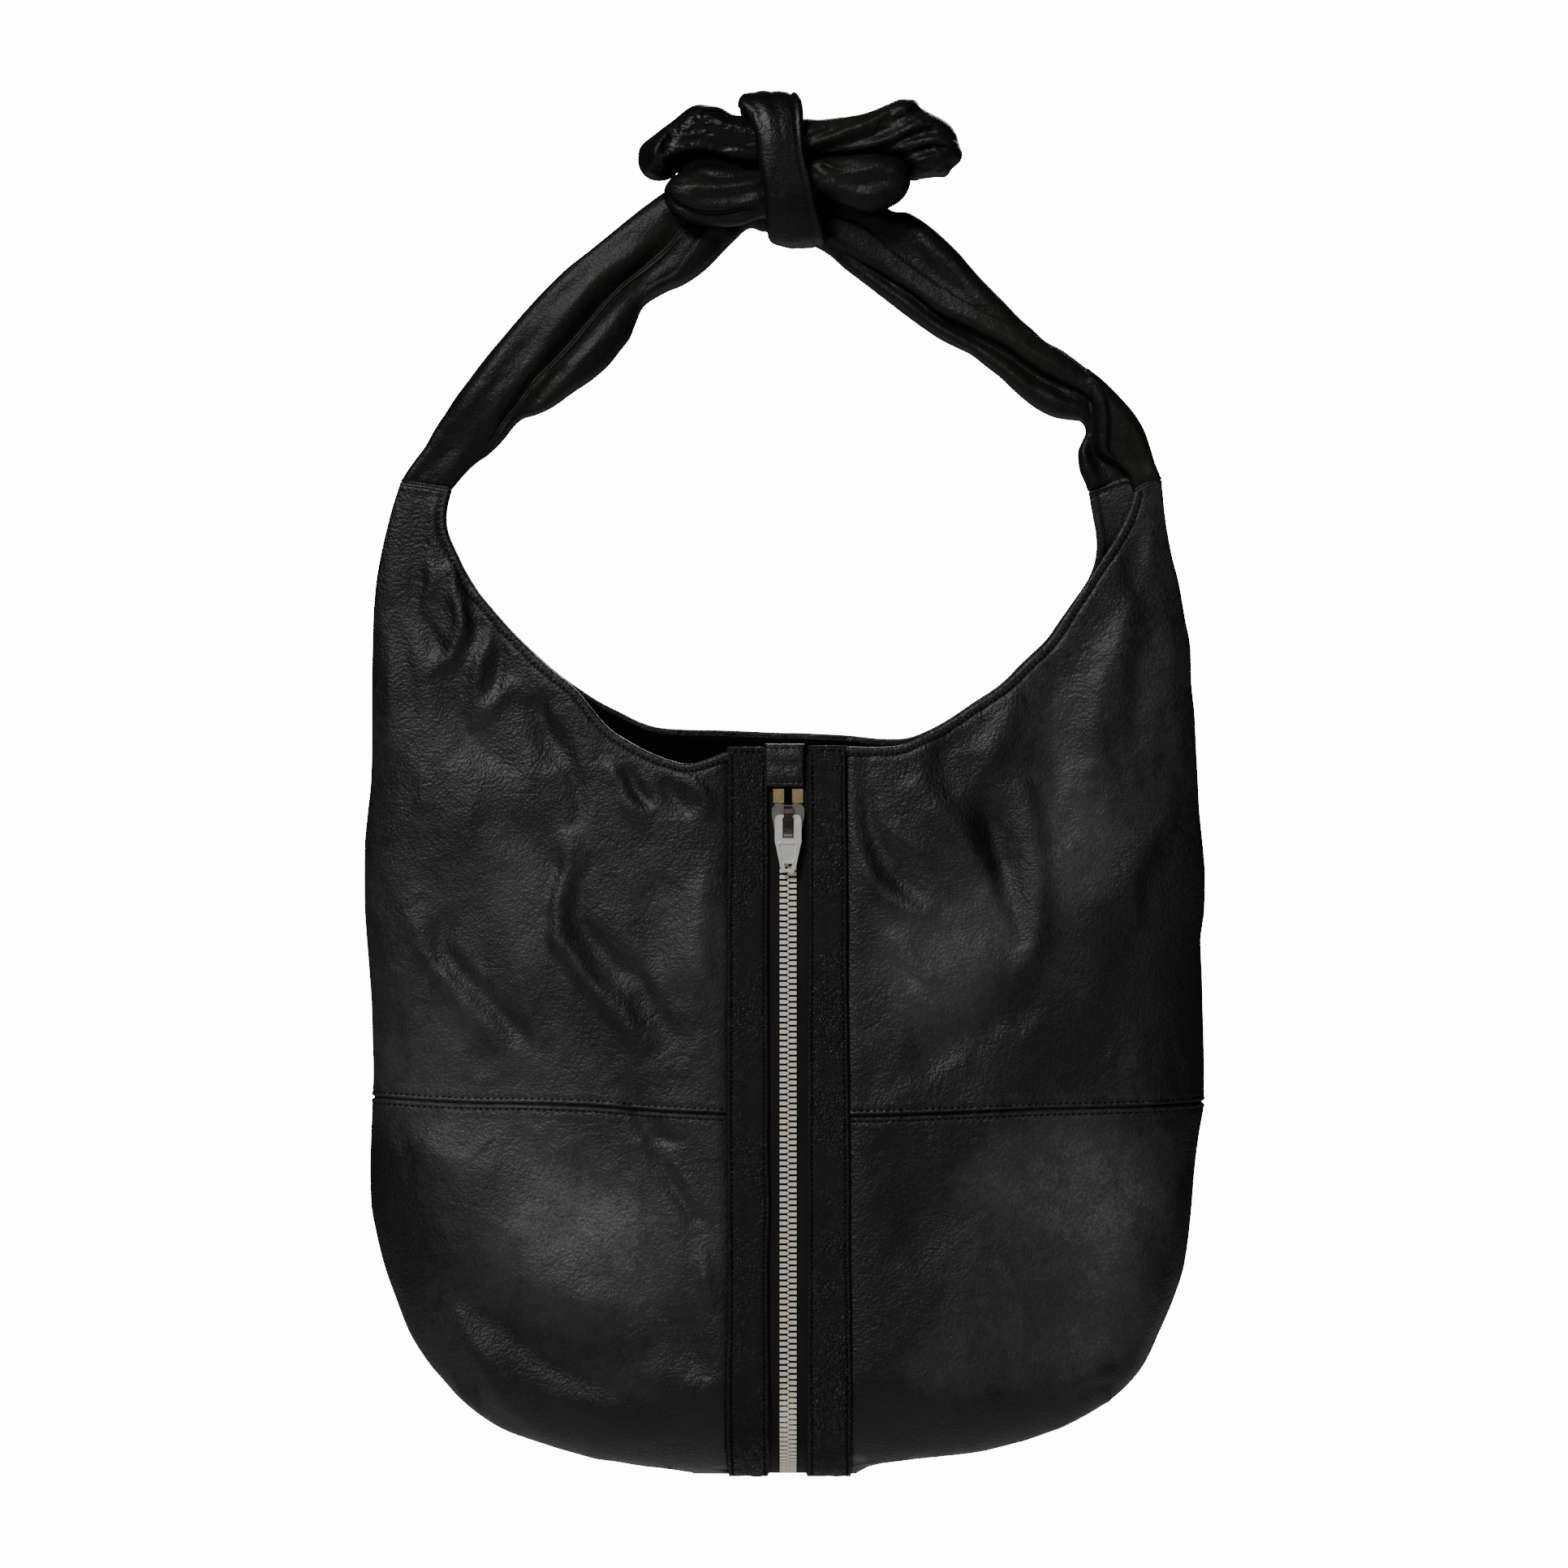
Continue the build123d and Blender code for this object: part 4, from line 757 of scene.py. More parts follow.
BACK_NECK = [(-158.1, 460.2), (-160, 453.3), (-160.7, 446.9), (-160, 441.2), (-158.1, 435.9), (-155.4, 430.2), (-152.8, 424.5), (-149.3, 418.4), (-144.8, 411.5), (-139.1, 404.7), (-132.6, 397.1), (-124.3, 388.7), (-110.2, 375.8), (-99.9, 368.2), (-89.7, 361.4), (-79.4, 356.1), (-70.3, 351.5), (-61.6, 348.8), (-46, 347.7), (-26.6, 347.3), (-8, 346.6), (6.1, 346.2), (22.4, 345.4), (36.1, 344.3), (47.1, 343.5), (57.8, 344.3), (69.9, 349.2), (79.4, 354.9), (87, 360.2), (94.2, 364.8), (101.1, 369.7), (110.2, 378.9), (122, 390.3), (127.7, 398.6), (135.7, 410), (141.7, 419.1), (144.8, 428.3), (145.2, 438.1), (143.3, 448.8), (141.4, 459.4)]
SEAM_L = [(-194.6, 176.3), (-171.4, 175.2), (-145.9, 174.4), (-123.9, 174.4), (-101.5, 174), (-80.2, 172.9), (-62.3, 171.4), (-46, 170.6), (-25.8, 169.9)]
SEAM_R = [(26.2, 169.1), (49, 169.5), (82.1, 170.6), (115.5, 171.8), (160, 172.5), (182, 173.3), (194.6, 174)]
SHOULDER_L = [(-158.1, 460.2), (-163.8, 460.9), (-171.4, 462.5), (-177.8, 464)]
SHOULDER_R = [(162.6, 459.4), (167.6, 462.5), (171.4, 464), (173.7, 465.1)]
BACK_SHOULDER_R = [(141.4, 459.4), (148.6, 461.7), (156.9, 464.4), (166.1, 465.5), (173.7, 465.5)]
IN_L, IN_R = -26.6, 26.2          # the panels run in under the zip facings


def seam_profile(d):
    """Double row of topstitching: pulled down on the seam and on the stitch row, full between."""
    return (-0.95 * np.exp(-(d / 0.6) ** 2) + 0.55 * np.exp(-((d - 1.45) / 0.75) ** 2) - 0.5 * np.exp(-((d - 2.5) / 0.42) ** 2)
            + 0.28 * np.exp(-((d - 3.7) / 1.1) ** 2))


def plain_seam(d):
    return -0.9 * np.exp(-(d / 0.8) ** 2) + 0.3 * np.exp(-((d - 2.0) / 1.2) ** 2)


def tuck(d):
    return -1.5 * np.exp(-(d / 3.0) ** 2)


def hem(d):
    return -0.75 * np.exp(-(np.maximum(d - 2.6, 0) / 1.0) ** 2) + 0.3 * np.exp(-((d - 5.4) / 1.3) ** 2)


def on_form(line, w_edge=None):
    """Domain line of front-view points; the w_edge argument is not used."""
    d = dom(line[:, 0], line[:, 1])
    return d


def panel(name, parts, side, cad, material=None, h=2.3, thick=1.4, extra=0.0, body="bag", rows=(0.3, 0.7, 1.15, 1.6, 2.05, 2.5, 2.95, 3.6, 4.6, 6.0)):
    """A leather panel. parts: consecutive edges [(domain points, profile or None), ...] going round its outline."""
    loop = []
    for line, _ in parts:
        line = resample(line, 1.5)
        loop.append(line[:-1])
    loop = np.vstack(loop)
    v, f = region(loop, h, list(rows))
    ex = np.full(len(v), float(extra))
    for line, prof in parts:
        if prof is None:
            continue
        d, share, _ = to_line(v, resample(line, 1.5))
        ex += prof(d)
    v[:, 0] = np.clip(v[:, 0], -W_MAX, W_MAX)
    v[:, 1] = np.maximum(v[:, 1], 0.0)
    p, n = lay(v[:, 0], v[:, 1], side, ex)
    if side > 0:
        f = [list(reversed(t)) for t in f]
    verts, faces = shell(p, n, f, thick)
    ob = mesh(name, verts, faces, material or LEATHER, body)
    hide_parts(*cad)
    return ob


def edge_line(sign, z0, z1):
    """Domain line down or up the bag's outline."""
    t = np.linspace(float(t_of(z0)), float(t_of(z1)), 80)
    return np.stack([np.full(len(t), sign * W_MAX), t], axis=1)


def xline(x, z0, z1, n=90):
    z = np.linspace(z0, z1, n)
    return dom(np.full(n, x), z)


def joined(line, corner0=None, corner1=None):
    """Smooth domain line through front-view points, its ends pinned to given domain corners."""
    c = catmull(line, step=1.5)
    d = dom(c[:, 0], c[:, 1])
    for corner, k in ((corner0, 0), (corner1, -1)):
        if corner is not None:
            n = min(12, len(d) // 2)
            shift = np.asarray(corner) - d[k]
            wts = np.linspace(1, 0, n)[:, None]
            if k == 0:
                d[:n] += shift * wts
            else:
                d[-n:] += shift * wts[::-1]
    return d


def pt(x, z):
    return dom([x], [z])[0]


Z_SEAM_L, Z_SEAM_R, Z_SEAM_M = SEAM_L[0][1], SEAM_R[-1][1], SEAM_L[-1][1]
neck_l = catmull(NECK_L, step=1.2)
neck_r = catmull(NECK_R, step=1.2)
neck_b = catmull(BACK_NECK, step=1.2)
top_l = neck_l[neck_l[:, 0] <= IN_L]            # from the shoulder to the zip
top_r = neck_r[neck_r[:, 0] >= IN_R]            # from the zip to the shoulder
Z_TOP_L, Z_TOP_R = top_l[-1][1], top_r[0][1]
sl, sr = np.array(SEAM_L), np.array(SEAM_R)
sl[-1, 0], sr[0, 0] = IN_L, IN_R
W_L, W_R = -W_MAX, W_MAX
out_l, out_r = SHOULDER_L[-1][1], SHOULDER_R[-1][1]

# upper left, counter-clockwise: seam (outline to zip), up the zip, mouth edge to the shoulder, shoulder, down the outline
c_seam_l = np.array([W_L, float(t_of(Z_SEAM_L))])
c_seam_r = np.array([W_R, float(t_of(Z_SEAM_R))])
c_sh_l = np.array([W_L, float(t_of(out_l))])
c_sh_r = np.array([W_R, float(t_of(out_r))])
seam_l = joined(sl, corner0=c_seam_l)
seam_r = joined(sr, corner1=c_seam_r)
zip_up_l = xline(IN_L, sl[-1, 1], Z_TOP_L)
zip_up_r = xline(IN_R, sr[0, 1], Z_TOP_R)
mouth_l = dom(top_l[:, 0], top_l[:, 1])[::-1]
mouth_r = dom(top_r[:, 0], top_r[:, 1])
sh_l = joined(np.array(SHOULDER_L), corner1=c_sh_l)
sh_r = joined(np.array(SHOULDER_R), corner1=c_sh_r)
panel("front_upper_left_leather", [(seam_l, seam_profile), (zip_up_l, tuck), (mouth_l, hem), (sh_l, plain_seam),
                                  (edge_line(-1, out_l, Z_SEAM_L), None)], -1, ["front_panel_upper_left"])
panel("front_upper_right_leather", [(seam_r, seam_profile), (edge_line(1, Z_SEAM_R, out_r), None), (sh_r[::-1], plain_seam), (mouth_r[::-1], hem),
                                   (zip_up_r[::-1], tuck)], -1, ["front_panel_upper_right"])
bottom = lambda w0, w1: np.stack([np.linspace(w0, w1, 200), np.zeros(200)], axis=1)
low_l = xline(IN_L, 1.6, sl[-1, 1], 140)
low_r = xline(IN_R, 3.2, sr[0, 1], 140)
w_bl, w_br = low_l[0][0], low_r[0][0]
low_l = np.vstack([[w_bl, 0.0], low_l])
low_r = np.vstack([[w_br, 0.0], low_r])
panel("front_lower_left_leather", [(bottom(W_L, w_bl), plain_seam), (low_l, tuck), (seam_l[::-1], seam_profile), (edge_line(-1, Z_SEAM_L, 0.0), None)],
      -1, ["front_panel_lower_left"])
panel("front_lower_right_leather", [(bottom(w_br, W_R), plain_seam), (edge_line(1, 0.0, Z_SEAM_R), None), (seam_r[::-1], seam_profile), (low_r[::-1], tuck)],
      -1, ["front_panel_lower_right"])

# back
seam_b = joined(np.array([(SEAM_L[0][0], Z_SEAM_L), (-110, 173.5), (0, 171.5), (110, 172.0), (SEAM_R[-1][0], Z_SEAM_R)]), c_seam_l, c_seam_r)
mouth_b = dom(neck_b[:, 0], neck_b[:, 1])
sh_b_r = joined(np.array(BACK_SHOULDER_R), corner1=c_sh_r)
panel("back_upper_leather", [(seam_b, seam_profile), (edge_line(1, Z_SEAM_R, out_r), None), (sh_b_r[::-1], plain_seam), (mouth_b[::-1], hem), (sh_l, plain_seam),
                            (edge_line(-1, out_l, Z_SEAM_L), None)], 1, ["back_panel_upper"], h=3.0)
panel("back_lower_leather", [(bottom(W_L, W_R), plain_seam), (edge_line(1, 0.0, Z_SEAM_R), None), (seam_b[::-1], seam_profile), (edge_line(-1, Z_SEAM_L, 0.0), None)],
      1, ["back_panel_lower"], h=3.0)

# lining, a little inside the leather
def lining(name, parts, side, cad):
    loop = np.vstack([resample(l, 4.0)[:-1] for l in parts])
    v, f = region(loop, 6.0, [2.5])
    v[:, 0] = np.clip(v[:, 0], -W_MAX, W_MAX)
    p, n = lay(v[:, 0] * 0.985, np.maximum(v[:, 1], 2.0), side, -2.2)
    p += n * (0.35 * fbm(p / 16, 2, 77))[:, None]
    if side > 0:
        f = [list(reversed(t)) for t in f]
    verts, faces = shell(p, n, f, 0.6)
    ob = mesh(name, verts, faces, CLOTH, "bag")
    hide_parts(*cad)


def lowered(line, by):
    """The same edge moved back from the mouth."""
    e = np.gradient(line, axis=0)
    e /= np.maximum(np.linalg.norm(e, axis=1, keepdims=True), 1e-9)
    n = np.stack([-e[:, 1], e[:, 0]], axis=1)
    away = np.sum(n * (line - np.array([0.0, 470.0])), axis=1)
    return line + n * (by * np.where(away < 0, -1.0, 1.0))[:, None]


TOPZ = 392.0
cut = lambda line: line[z_of(line[:, 1]) < TOPZ]
ml, mr, mb = lowered(cut(mouth_l), 2.2), lowered(cut(mouth_r), 2.2), lowered(cut(mouth_b), 2.2)
zl = xline(-17.0, 4.0, z_of(ml[0][1]))
zr = xline(17.0, 5.0, z_of(mr[0][1]))
lining("lining_cloth_front_left", [bottom(W_L, zl[0][0]) + [0, 3.0], zl, np.vstack([ml, [W_L, ml[-1][1]]]), edge_line(-1, float(z_of(ml[-1][1])), 1.0)], -1, ["lining_front_left"])
lining("lining_cloth_front_right", [bottom(zr[0][0], W_R) + [0, 3.0], edge_line(1, 1.0, float(z_of(mr[-1][1]))), np.vstack([[W_R, mr[-1][1]], mr[::-1]]), zr[::-1]], -1, ["lining_front_right"])
lining("lining_cloth_back", [bottom(W_L, W_R) + [0, 3.0], edge_line(1, 1.0, float(z_of(mb[-1][1]))), np.vstack([[W_R, mb[-1][1]], mb[::-1], [W_L, mb[0][1]]]),
                            edge_line(-1, float(z_of(mb[0][1])), 1.0)], 1, ["lining_back"])


# ------------------------------------------------------------------ turned mouth edge, swept along the scoop
def frames(p, n):
    """Tangent and in-surface across directions along a path."""
    t = np.gradient(p, axis=0)
    t /= np.maximum(np.linalg.norm(t, axis=1, keepdims=True), 1e-9)
    n = n - t * np.sum(n * t, axis=1, keepdims=True)
    n /= np.maximum(np.linalg.norm(n, axis=1, keepdims=True), 1e-9)
    return t, n, np.cross(n, t)


def sweep(p, n, profile, flip=1.0, closed=False):
    """Closed profile (across, out) swept along a path on a surface, with capped ends."""
    t, n, a = frames(p, n)
    a = a * flip
    m = len(profile)
    rows = [p + a * q[0] + n * q[1] for q in profile]
    v = np.stack(rows, axis=1).reshape(-1, 3)
    k = len(p)
    f = []
    for i in range(k if closed else k - 1):
        j = (i + 1) % k
        for s in range(m):
            r = (s + 1) % m
            q = [i * m + s, i * m + r, j * m + r, j * m + s]
            f.append(q if flip > 0 else q[::-1])
    if not closed:
        e0, e1 = [s for s in range(m)][::-1], [(k - 1) * m + s for s in range(m)]
        f.append(e0 if flip > 0 else e0[::-1])
        f.append(e1 if flip > 0 else e1[::-1])
    return v, f


EDGE_PROFILE = [(3.7, 0.0), (3.45, 0.32), (2.7, 0.16), (1.6, 0.5), (0.5, 0.45), (-0.25, 0.1), (-0.6, -0.6), (-0.3, -1.35), (0.4, -1.85), (1.8, -1.95), (3.4, -1.9), (3.7, -1.5)]


def smooth_path(p, k=3):
    for _ in range(k):
        p = np.vstack([p[:1], (p[:-2] + 2 * p[1:-1] + p[2:]) / 4, p[-1:]])
    return p


def hem_strip(name, line, side, cad, flip):
    d = resample(line, 1.6)
    p, n = lay(d[:, 0], d[:, 1], side, 0.0)
    p, n = smooth_path(p), smooth_path(n)
    v, f = sweep(p, n, EDGE_PROFILE, flip)
    ob = mesh(name, v, f, LEATHER, "bag")
    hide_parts(*cad)
    t, nn, a = frames(p, n)
    stitches(name.replace("edge", "stitches"), p + a * flip * 2.7 + nn * 0.30, nn, 2.6, 1.8, 0.40, "bag")


CAPS = [(-0.5, 0.0), (-0.44, 0.62), (-0.3, 0.95), (0.0, 1.0), (0.3, 0.95), (0.44, 0.62), (0.5, 0.0)]


def stitches(name, path, normals, pitch, length, radius, body, slant=0.06):
    """A row of thread stitches along a path."""
    path = np.asarray(path, float)
    s = np.concatenate([[0], np.cumsum(np.linalg.norm(np.diff(path, axis=0), axis=1))])
    count = max(1, int(s[-1] / pitch))
    mid = (np.arange(count) + 0.5) * s[-1] / count
    at = lambda q, arr: np.stack([np.interp(q, s, arr[:, k]) for k in range(3)], axis=1)
    c = at(mid, path)
    t = at(mid + 0.5 * length, path) - at(mid - 0.5 * length, path)
    t /= np.maximum(np.linalg.norm(t, axis=1, keepdims=True), 1e-9)
    n = at(mid, np.asarray(normals, float))
    n -= t * np.sum(n * t, axis=1, keepdims=True)
    n /= np.maximum(np.linalg.norm(n, axis=1, keepdims=True), 1e-9)
    b = np.cross(n, t)
    ring = 6
    local = []
    for x, r in CAPS:
        if r == 0:
            local.append((x * length, 0.0, -0.75 * radius))
        else:
            for k in range(ring):
                a = 2 * PI * k / ring
                local.append((x * length, math.cos(a) * r * radius + slant * x * length, math.sin(a) * r * radius - 3.0 * radius * x * x))
    local = np.array(local)
    faces = []
    for k in range(ring):
        faces.append([0, 1 + (k + 1) % ring, 1 + k])
    for q in range(len(CAPS) - 3):
        o = 1 + q * ring
        for k in range(ring):
            k2 = (k + 1) % ring
            faces.append([o + k, o + k2, o + ring + k2, o + ring + k])
    last = len(local) - 1
    o = 1 + (len(CAPS) - 3) * ring
    for k in range(ring):
        faces.append([last, o + k, o + (k + 1) % ring])
    wob = vnoise(np.stack([mid * 0.7, mid * 0 + len(name), mid * 0], 1), 3) * 0.12
    v = (c[:, None, :] + t[:, None, :] * local[None, :, 0:1] + b[:, None, :] * (local[None, :, 1:2] + wob[:, None, None]) + n[:, None, :] * local[None, :, 2:3]).reshape(-1, 3)
    f = [[i + k * len(local) for i in face] for k in range(count) for face in faces]
    ob = mesh(name, v, f, THREAD, body)
    return ob


hem_strip("mouth_edge_front_left", mouth_l, -1, ["mouth_binding_front_left"], 1.0)
hem_strip("mouth_edge_front_right", mouth_r[::-1], -1, ["mouth_binding_front_right"], 1.0)
hem_strip("mouth_edge_back", mouth_b, 1, ["mouth_binding_back"], 1.0)


def seam_rows(name, line, side, offs, profile_d=2.5, trim=None):
    line = resample(line, 1.5)
    if trim:
        x = form(line[:, 0], line[:, 1], side)[:, 0]
        line = line[trim(x)]
    for k, off in enumerate(offs):
        e = np.gradient(line, axis=0)
        e /= np.linalg.norm(e, axis=1, keepdims=True)
        q = line + np.stack([-e[:, 1], e[:, 0]], axis=1) * off
        q[:, 0] = np.clip(q[:, 0], -W_MAX, W_MAX)
        p, n = lay(q[:, 0], q[:, 1], side, float(seam_profile(np.array([profile_d]))[0]) + 0.14)
        stitches(f"{name}_{k}", p, n, 3.0, 2.3, 0.46, "bag")


seam_rows("seam_stitches_left", seam_l, -1, (2.5, -2.5), trim=lambda x: x < -28.5)
seam_rows("seam_stitches_right", seam_r, -1, (2.5, -2.5), trim=lambda x: x > 29.0)
seam_rows("seam_stitches_back", seam_b, 1, (2.5, -2.5))


# ------------------------------------------------------------------ zip facings, top tab, shoulder seams
T_Y = -BOT_R * math.cos(TILT)
S_MAX = (340.2 - T_Z) / math.cos(TILT)
ARC_FACING = ARC + 0.03 * BOT_R


def zat(x, s, n):
    x, s, n = np.broadcast_arrays(np.asarray(x, float), np.asarray(s, float), np.asarray(n, float))
    a = np.where(s >= 0, TILT, TILT + s / BOT_R)
    y = np.where(s >= 0, T_Y + s * math.sin(TILT) - n * math.cos(TILT), -(BOT_R + n) * np.cos(a))
    z = np.where(s >= 0, T_Z + s * math.cos(TILT) + n * math.sin(TILT), BOT_R + (BOT_R + n) * np.sin(a))
    return np.stack([x, y, z], axis=-1)


def zout(s):
    a = np.where(np.asarray(s, float) >= 0, TILT, TILT + np.asarray(s, float) / BOT_R)
    return np.stack([0 * a, -np.cos(a), np.sin(a)], axis=-1)


def facing(sign, cad):
    top = S_MAX - (0.6 if sign < 0 else 0.0)
    s = np.linspace(top, -ARC_FACING, 330)
    zz = zat(0, s, 0)[:, 2]
    inner = 8.9 + 0.35 * vnoise(np.stack([s / 26, 0 * s + sign, 0 * s], 1), 8) + (0.5 if sign < 0 else 0.4) * smooth((zz - 60) / 200)
    outer = (27.9 + 0 * s) if sign < 0 else np.interp(zz, [0, 170, 338], [29.4, 28.0, 26.6])
    outer = outer + 0.3 * vnoise(np.stack([s / 30, 0 * s + sign * 3, 0 * s], 1), 9)
    steps = [0, 0.12, 0.35, 0.7, 1.1, 1.5, 1.8, 2.1, 2.5, 3.0, 4.0, 5.2]
    cols = []
    for k in steps:
        cols.append(("in", k))
    for q in np.linspace(0.0, 1.0, 7)[1:-1]:
        cols.append(("mid", q))
    for k in reversed(steps):
        cols.append(("out", k))
    rows, nrm = [], []
    for kind, k in cols:
        if kind == "in":
            x, d = inner + k, np.full_like(s, k)
        elif kind == "out":
            x, d = outer - k, np.full_like(s, k)
        else:
            x = (inner + 5.2) * (1 - k) + (outer - 5.2) * k
            d = np.minimum(x - inner, outer - x)
        endd = np.minimum(top - s, 99.0)
        edge = np.minimum(d, endd)
        n = 0.15 + 0.85 * np.sqrt(np.clip(1 - (1 - np.clip(edge / 0.8, 0, 1)) ** 2, 0, 1))
        n = n - 0.40 * np.exp(-((d - 1.95) / 0.40) ** 2) + 0.30 * np.exp(-((d - 5.5) / 3.2) ** 2) + 0.38 * np.exp(-((d - 0.75) / 0.5) ** 2)
        pq = np.stack([x / 7, s / 11, 0 * s + sign * 5], 1)
        n = n + (0.42 * fbm(pq, 3, 14) + 0.25 * np.clip(fbm(np.stack([x / 4, s / 4.5, 0 * s + sign], 1), 2, 15), -1, 1)) * np.clip(d / 2.0, 0, 1)
        rows.append(zat(sign * x, s, n))
        nrm.append(zout(s))
    m, k = len(cols), len(s)
    v = np.stack(rows, axis=1).reshape(-1, 3)
    nn = np.stack(nrm, axis=1).reshape(-1, 3)
    f = []
    for i in range(k - 1):
        for j in range(m - 1):
            q = [i * m + j, (i + 1) * m + j, (i + 1) * m + j + 1, i * m + j + 1]
            f.append(q if sign > 0 else q[::-1])
    vv, ff = shell(v, nn, f, 1.7, 0.25)
    ob = mesh("facing_strip_" + ("left" if sign < 0 else "right"), vv, ff, FACING, "bag")
    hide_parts(cad)
    for tag, line in (("inner", inner + 1.95), ("outer", outer - 1.95)):
        p = zat(sign * line, s, 0.98 + 0 * s)
        stitches(f"facing_stitches_{'left' if sign < 0 else 'right'}_{tag}", p[3:], zout(s)[3:], 2.5, 1.75, 0.42, "bag")


facing(-1, "zip_facing_left")
facing(1, "zip_facing_right")

# leather tab over the zip's top end
s0, s1 = (321.4 - T_Z) / math.cos(TILT), (341.0 - T_Z) / math.cos(TILT)
gx = np.concatenate([[-10.5, -10.3, -9.9, -9.3], np.linspace(-8.4, 5.2, 12), [6.1, 6.7, 7.1, 7.3]])
gs = np.concatenate([[s0, s0 + 0.2, s0 + 0.6, s0 + 1.2, s0 + 1.9, s0 + 2.6, s0 + 3.4], np.linspace(s0 + 4.6, s1 - 4.6, 8), [s1 - 3.4, s1 - 2.6, s1 - 1.9, s1 - 1.2, s1 - 0.6, s1 - 0.2, s1]])
X, S = np.meshgrid(gx, gs)
dx = np.minimum(X - gx[0], gx[-1] - X)
ds = np.minimum(S - s0, s1 - S)
N = 0.55 + 0.7 * np.sqrt(np.clip(1 - (1 - np.clip(np.minimum(dx, ds) / 0.9, 0, 1)) ** 2, 0, 1))
N += -0.42 * np.exp(-((ds - 1.95) / 0.45) ** 2) * np.clip(dx / 0.8, 0, 1) + 0.55 * np.exp(-((ds - 5.5) / 3.0) ** 2) * np.clip(dx / 3, 0, 1)
N += 0.22 * fbm(np.stack([X.ravel() / 4, S.ravel() / 5, 0 * X.ravel()], 1), 3, 19).reshape(X.shape)
v = zat(X.ravel(), S.ravel(), N.ravel())
m = len(gx)
f = [[i * m + j, i * m + j + 1, (i + 1) * m + j + 1, (i + 1) * m + j] for i in range(len(gs) - 1) for j in range(m - 1)]
vv, ff = shell(v, zout(S.ravel()), f, 1.6, 0.25)
ob = mesh("top_tab_leather", vv, ff, LEATHER, "bag")
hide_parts("zip_top_tab")
for k, q in enumerate((s0 + 1.95, s1 - 1.95)):
    xs = np.linspace(-9.6, 6.6, 24)
    stitches(f"top_tab_stitches_{k}", zat(xs, 0 * xs + q, 0 * xs + 0.98), zout(0 * xs + q), 2.4, 1.7, 0.40, "bag")
# stitching across the short turned ends of the facings beside the tab
for sign, x0, x1 in ((-1, -26.0, -12.0), (1, 9.0, 25.0)):
    xs = np.linspace(x0, x1, 24)
    q = S_MAX - (0.6 if sign < 0 else 0.0) - 2.0
    stitches(f"facing_top_stitches_{'left' if sign < 0 else 'right'}", zat(xs, 0 * xs + q, 0 * xs + 1.2), zout(0 * xs + q), 2.5, 1.75, 0.42, "bag")

SEAM_PROFILE = [(-1.7, -0.9), (-1.35, 0.1), (-0.75, 0.42), (-0.12, -0.15), (0.12, -0.15), (0.75, 0.42), (1.35, 0.1), (1.7, -0.9), (0.0, -1.3)]


def shoulder(name, front, back, cad):
    a = resample(front, 1.2)
    b = resample(back, 1.2)
    pa, na = lay(a[:, 0], a[:, 1], -1, 0.25)
    pb, nb = lay(b[:, 0], b[:, 1], 1, 0.25)
    p = smooth_path(np.vstack([pa, pb[::-1]]), 4)
    n = smooth_path(np.vstack([na, nb[::-1]]), 4)
    v, f = sweep(p, n, SEAM_PROFILE, 1.0 if name.endswith("right") else -1.0)
    ob = mesh(name, v, f, LEATHER, "bag")
    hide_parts(cad)


shoulder("shoulder_join_left", sh_l, sh_l, "shoulder_seam_left")
shoulder("shoulder_join_right", sh_r, sh_b_r, "shoulder_seam_right")

# raised rim round the pull tab's sunk field
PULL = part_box("zip_pull_tab")
p_lo, p_hi = np.array(PULL[0], float) * 1000, np.array(PULL[1], float) * 1000
s_axis = (p_hi[2] + RAISE - T_Z) / math.cos(TILT) - 11.5        # the tab ends 11.5 mm above its hinge bar
n_face = -(p_lo[1] - T_Y - (s_axis - 15.2) * math.sin(TILT)) / math.cos(TILT)


def bead(name, pts, radius, lift, material, body):
    loop = catmull(pts, closed=True, step=0.35)[:-1]
    c = zat(loop[:, 0], loop[:, 1], 0 * loop[:, 0] + lift)
    nrm = zout(loop[:, 1])
    t = np.roll(c, -1, 0) - np.roll(c, 1, 0)
    t /= np.linalg.norm(t, axis=1, keepdims=True)
    side = np.cross(t, nrm)
    prof = [(math.cos(a) * radius, math.sin(a) * radius * 0.7) for a in np.linspace(0, 2 * PI, 9)[:-1]]
    m, k = len(prof), len(c)
    v = np.stack([c + side * q[0] + nrm * q[1] for q in prof], axis=1).reshape(-1, 3)
    f = [[i * m + j, i * m + (j + 1) % m, ((i + 1) % k) * m + (j + 1) % m, ((i + 1) % k) * m + j] for i in range(k) for j in range(m)]
    ob = mesh(name, v, f, material, body)
    return ob


r = lambda q: q + s_axis
bead("pull_tab_rim", [(-4.3, r(-1.9)), (-4.0, r(-1.55)), (0.0, r(-1.5)), (4.0, r(-1.55)), (4.3, r(-1.9)), (3.6, r(-6.0)), (2.85, r(-10.1)), (2.5, r(-10.5)),
                      (0.0, r(-10.6)), (-2.5, r(-10.5)), (-2.85, r(-10.1)), (-3.6, r(-6.0))], 0.32, n_face - 0.02, NICKEL, "pull")


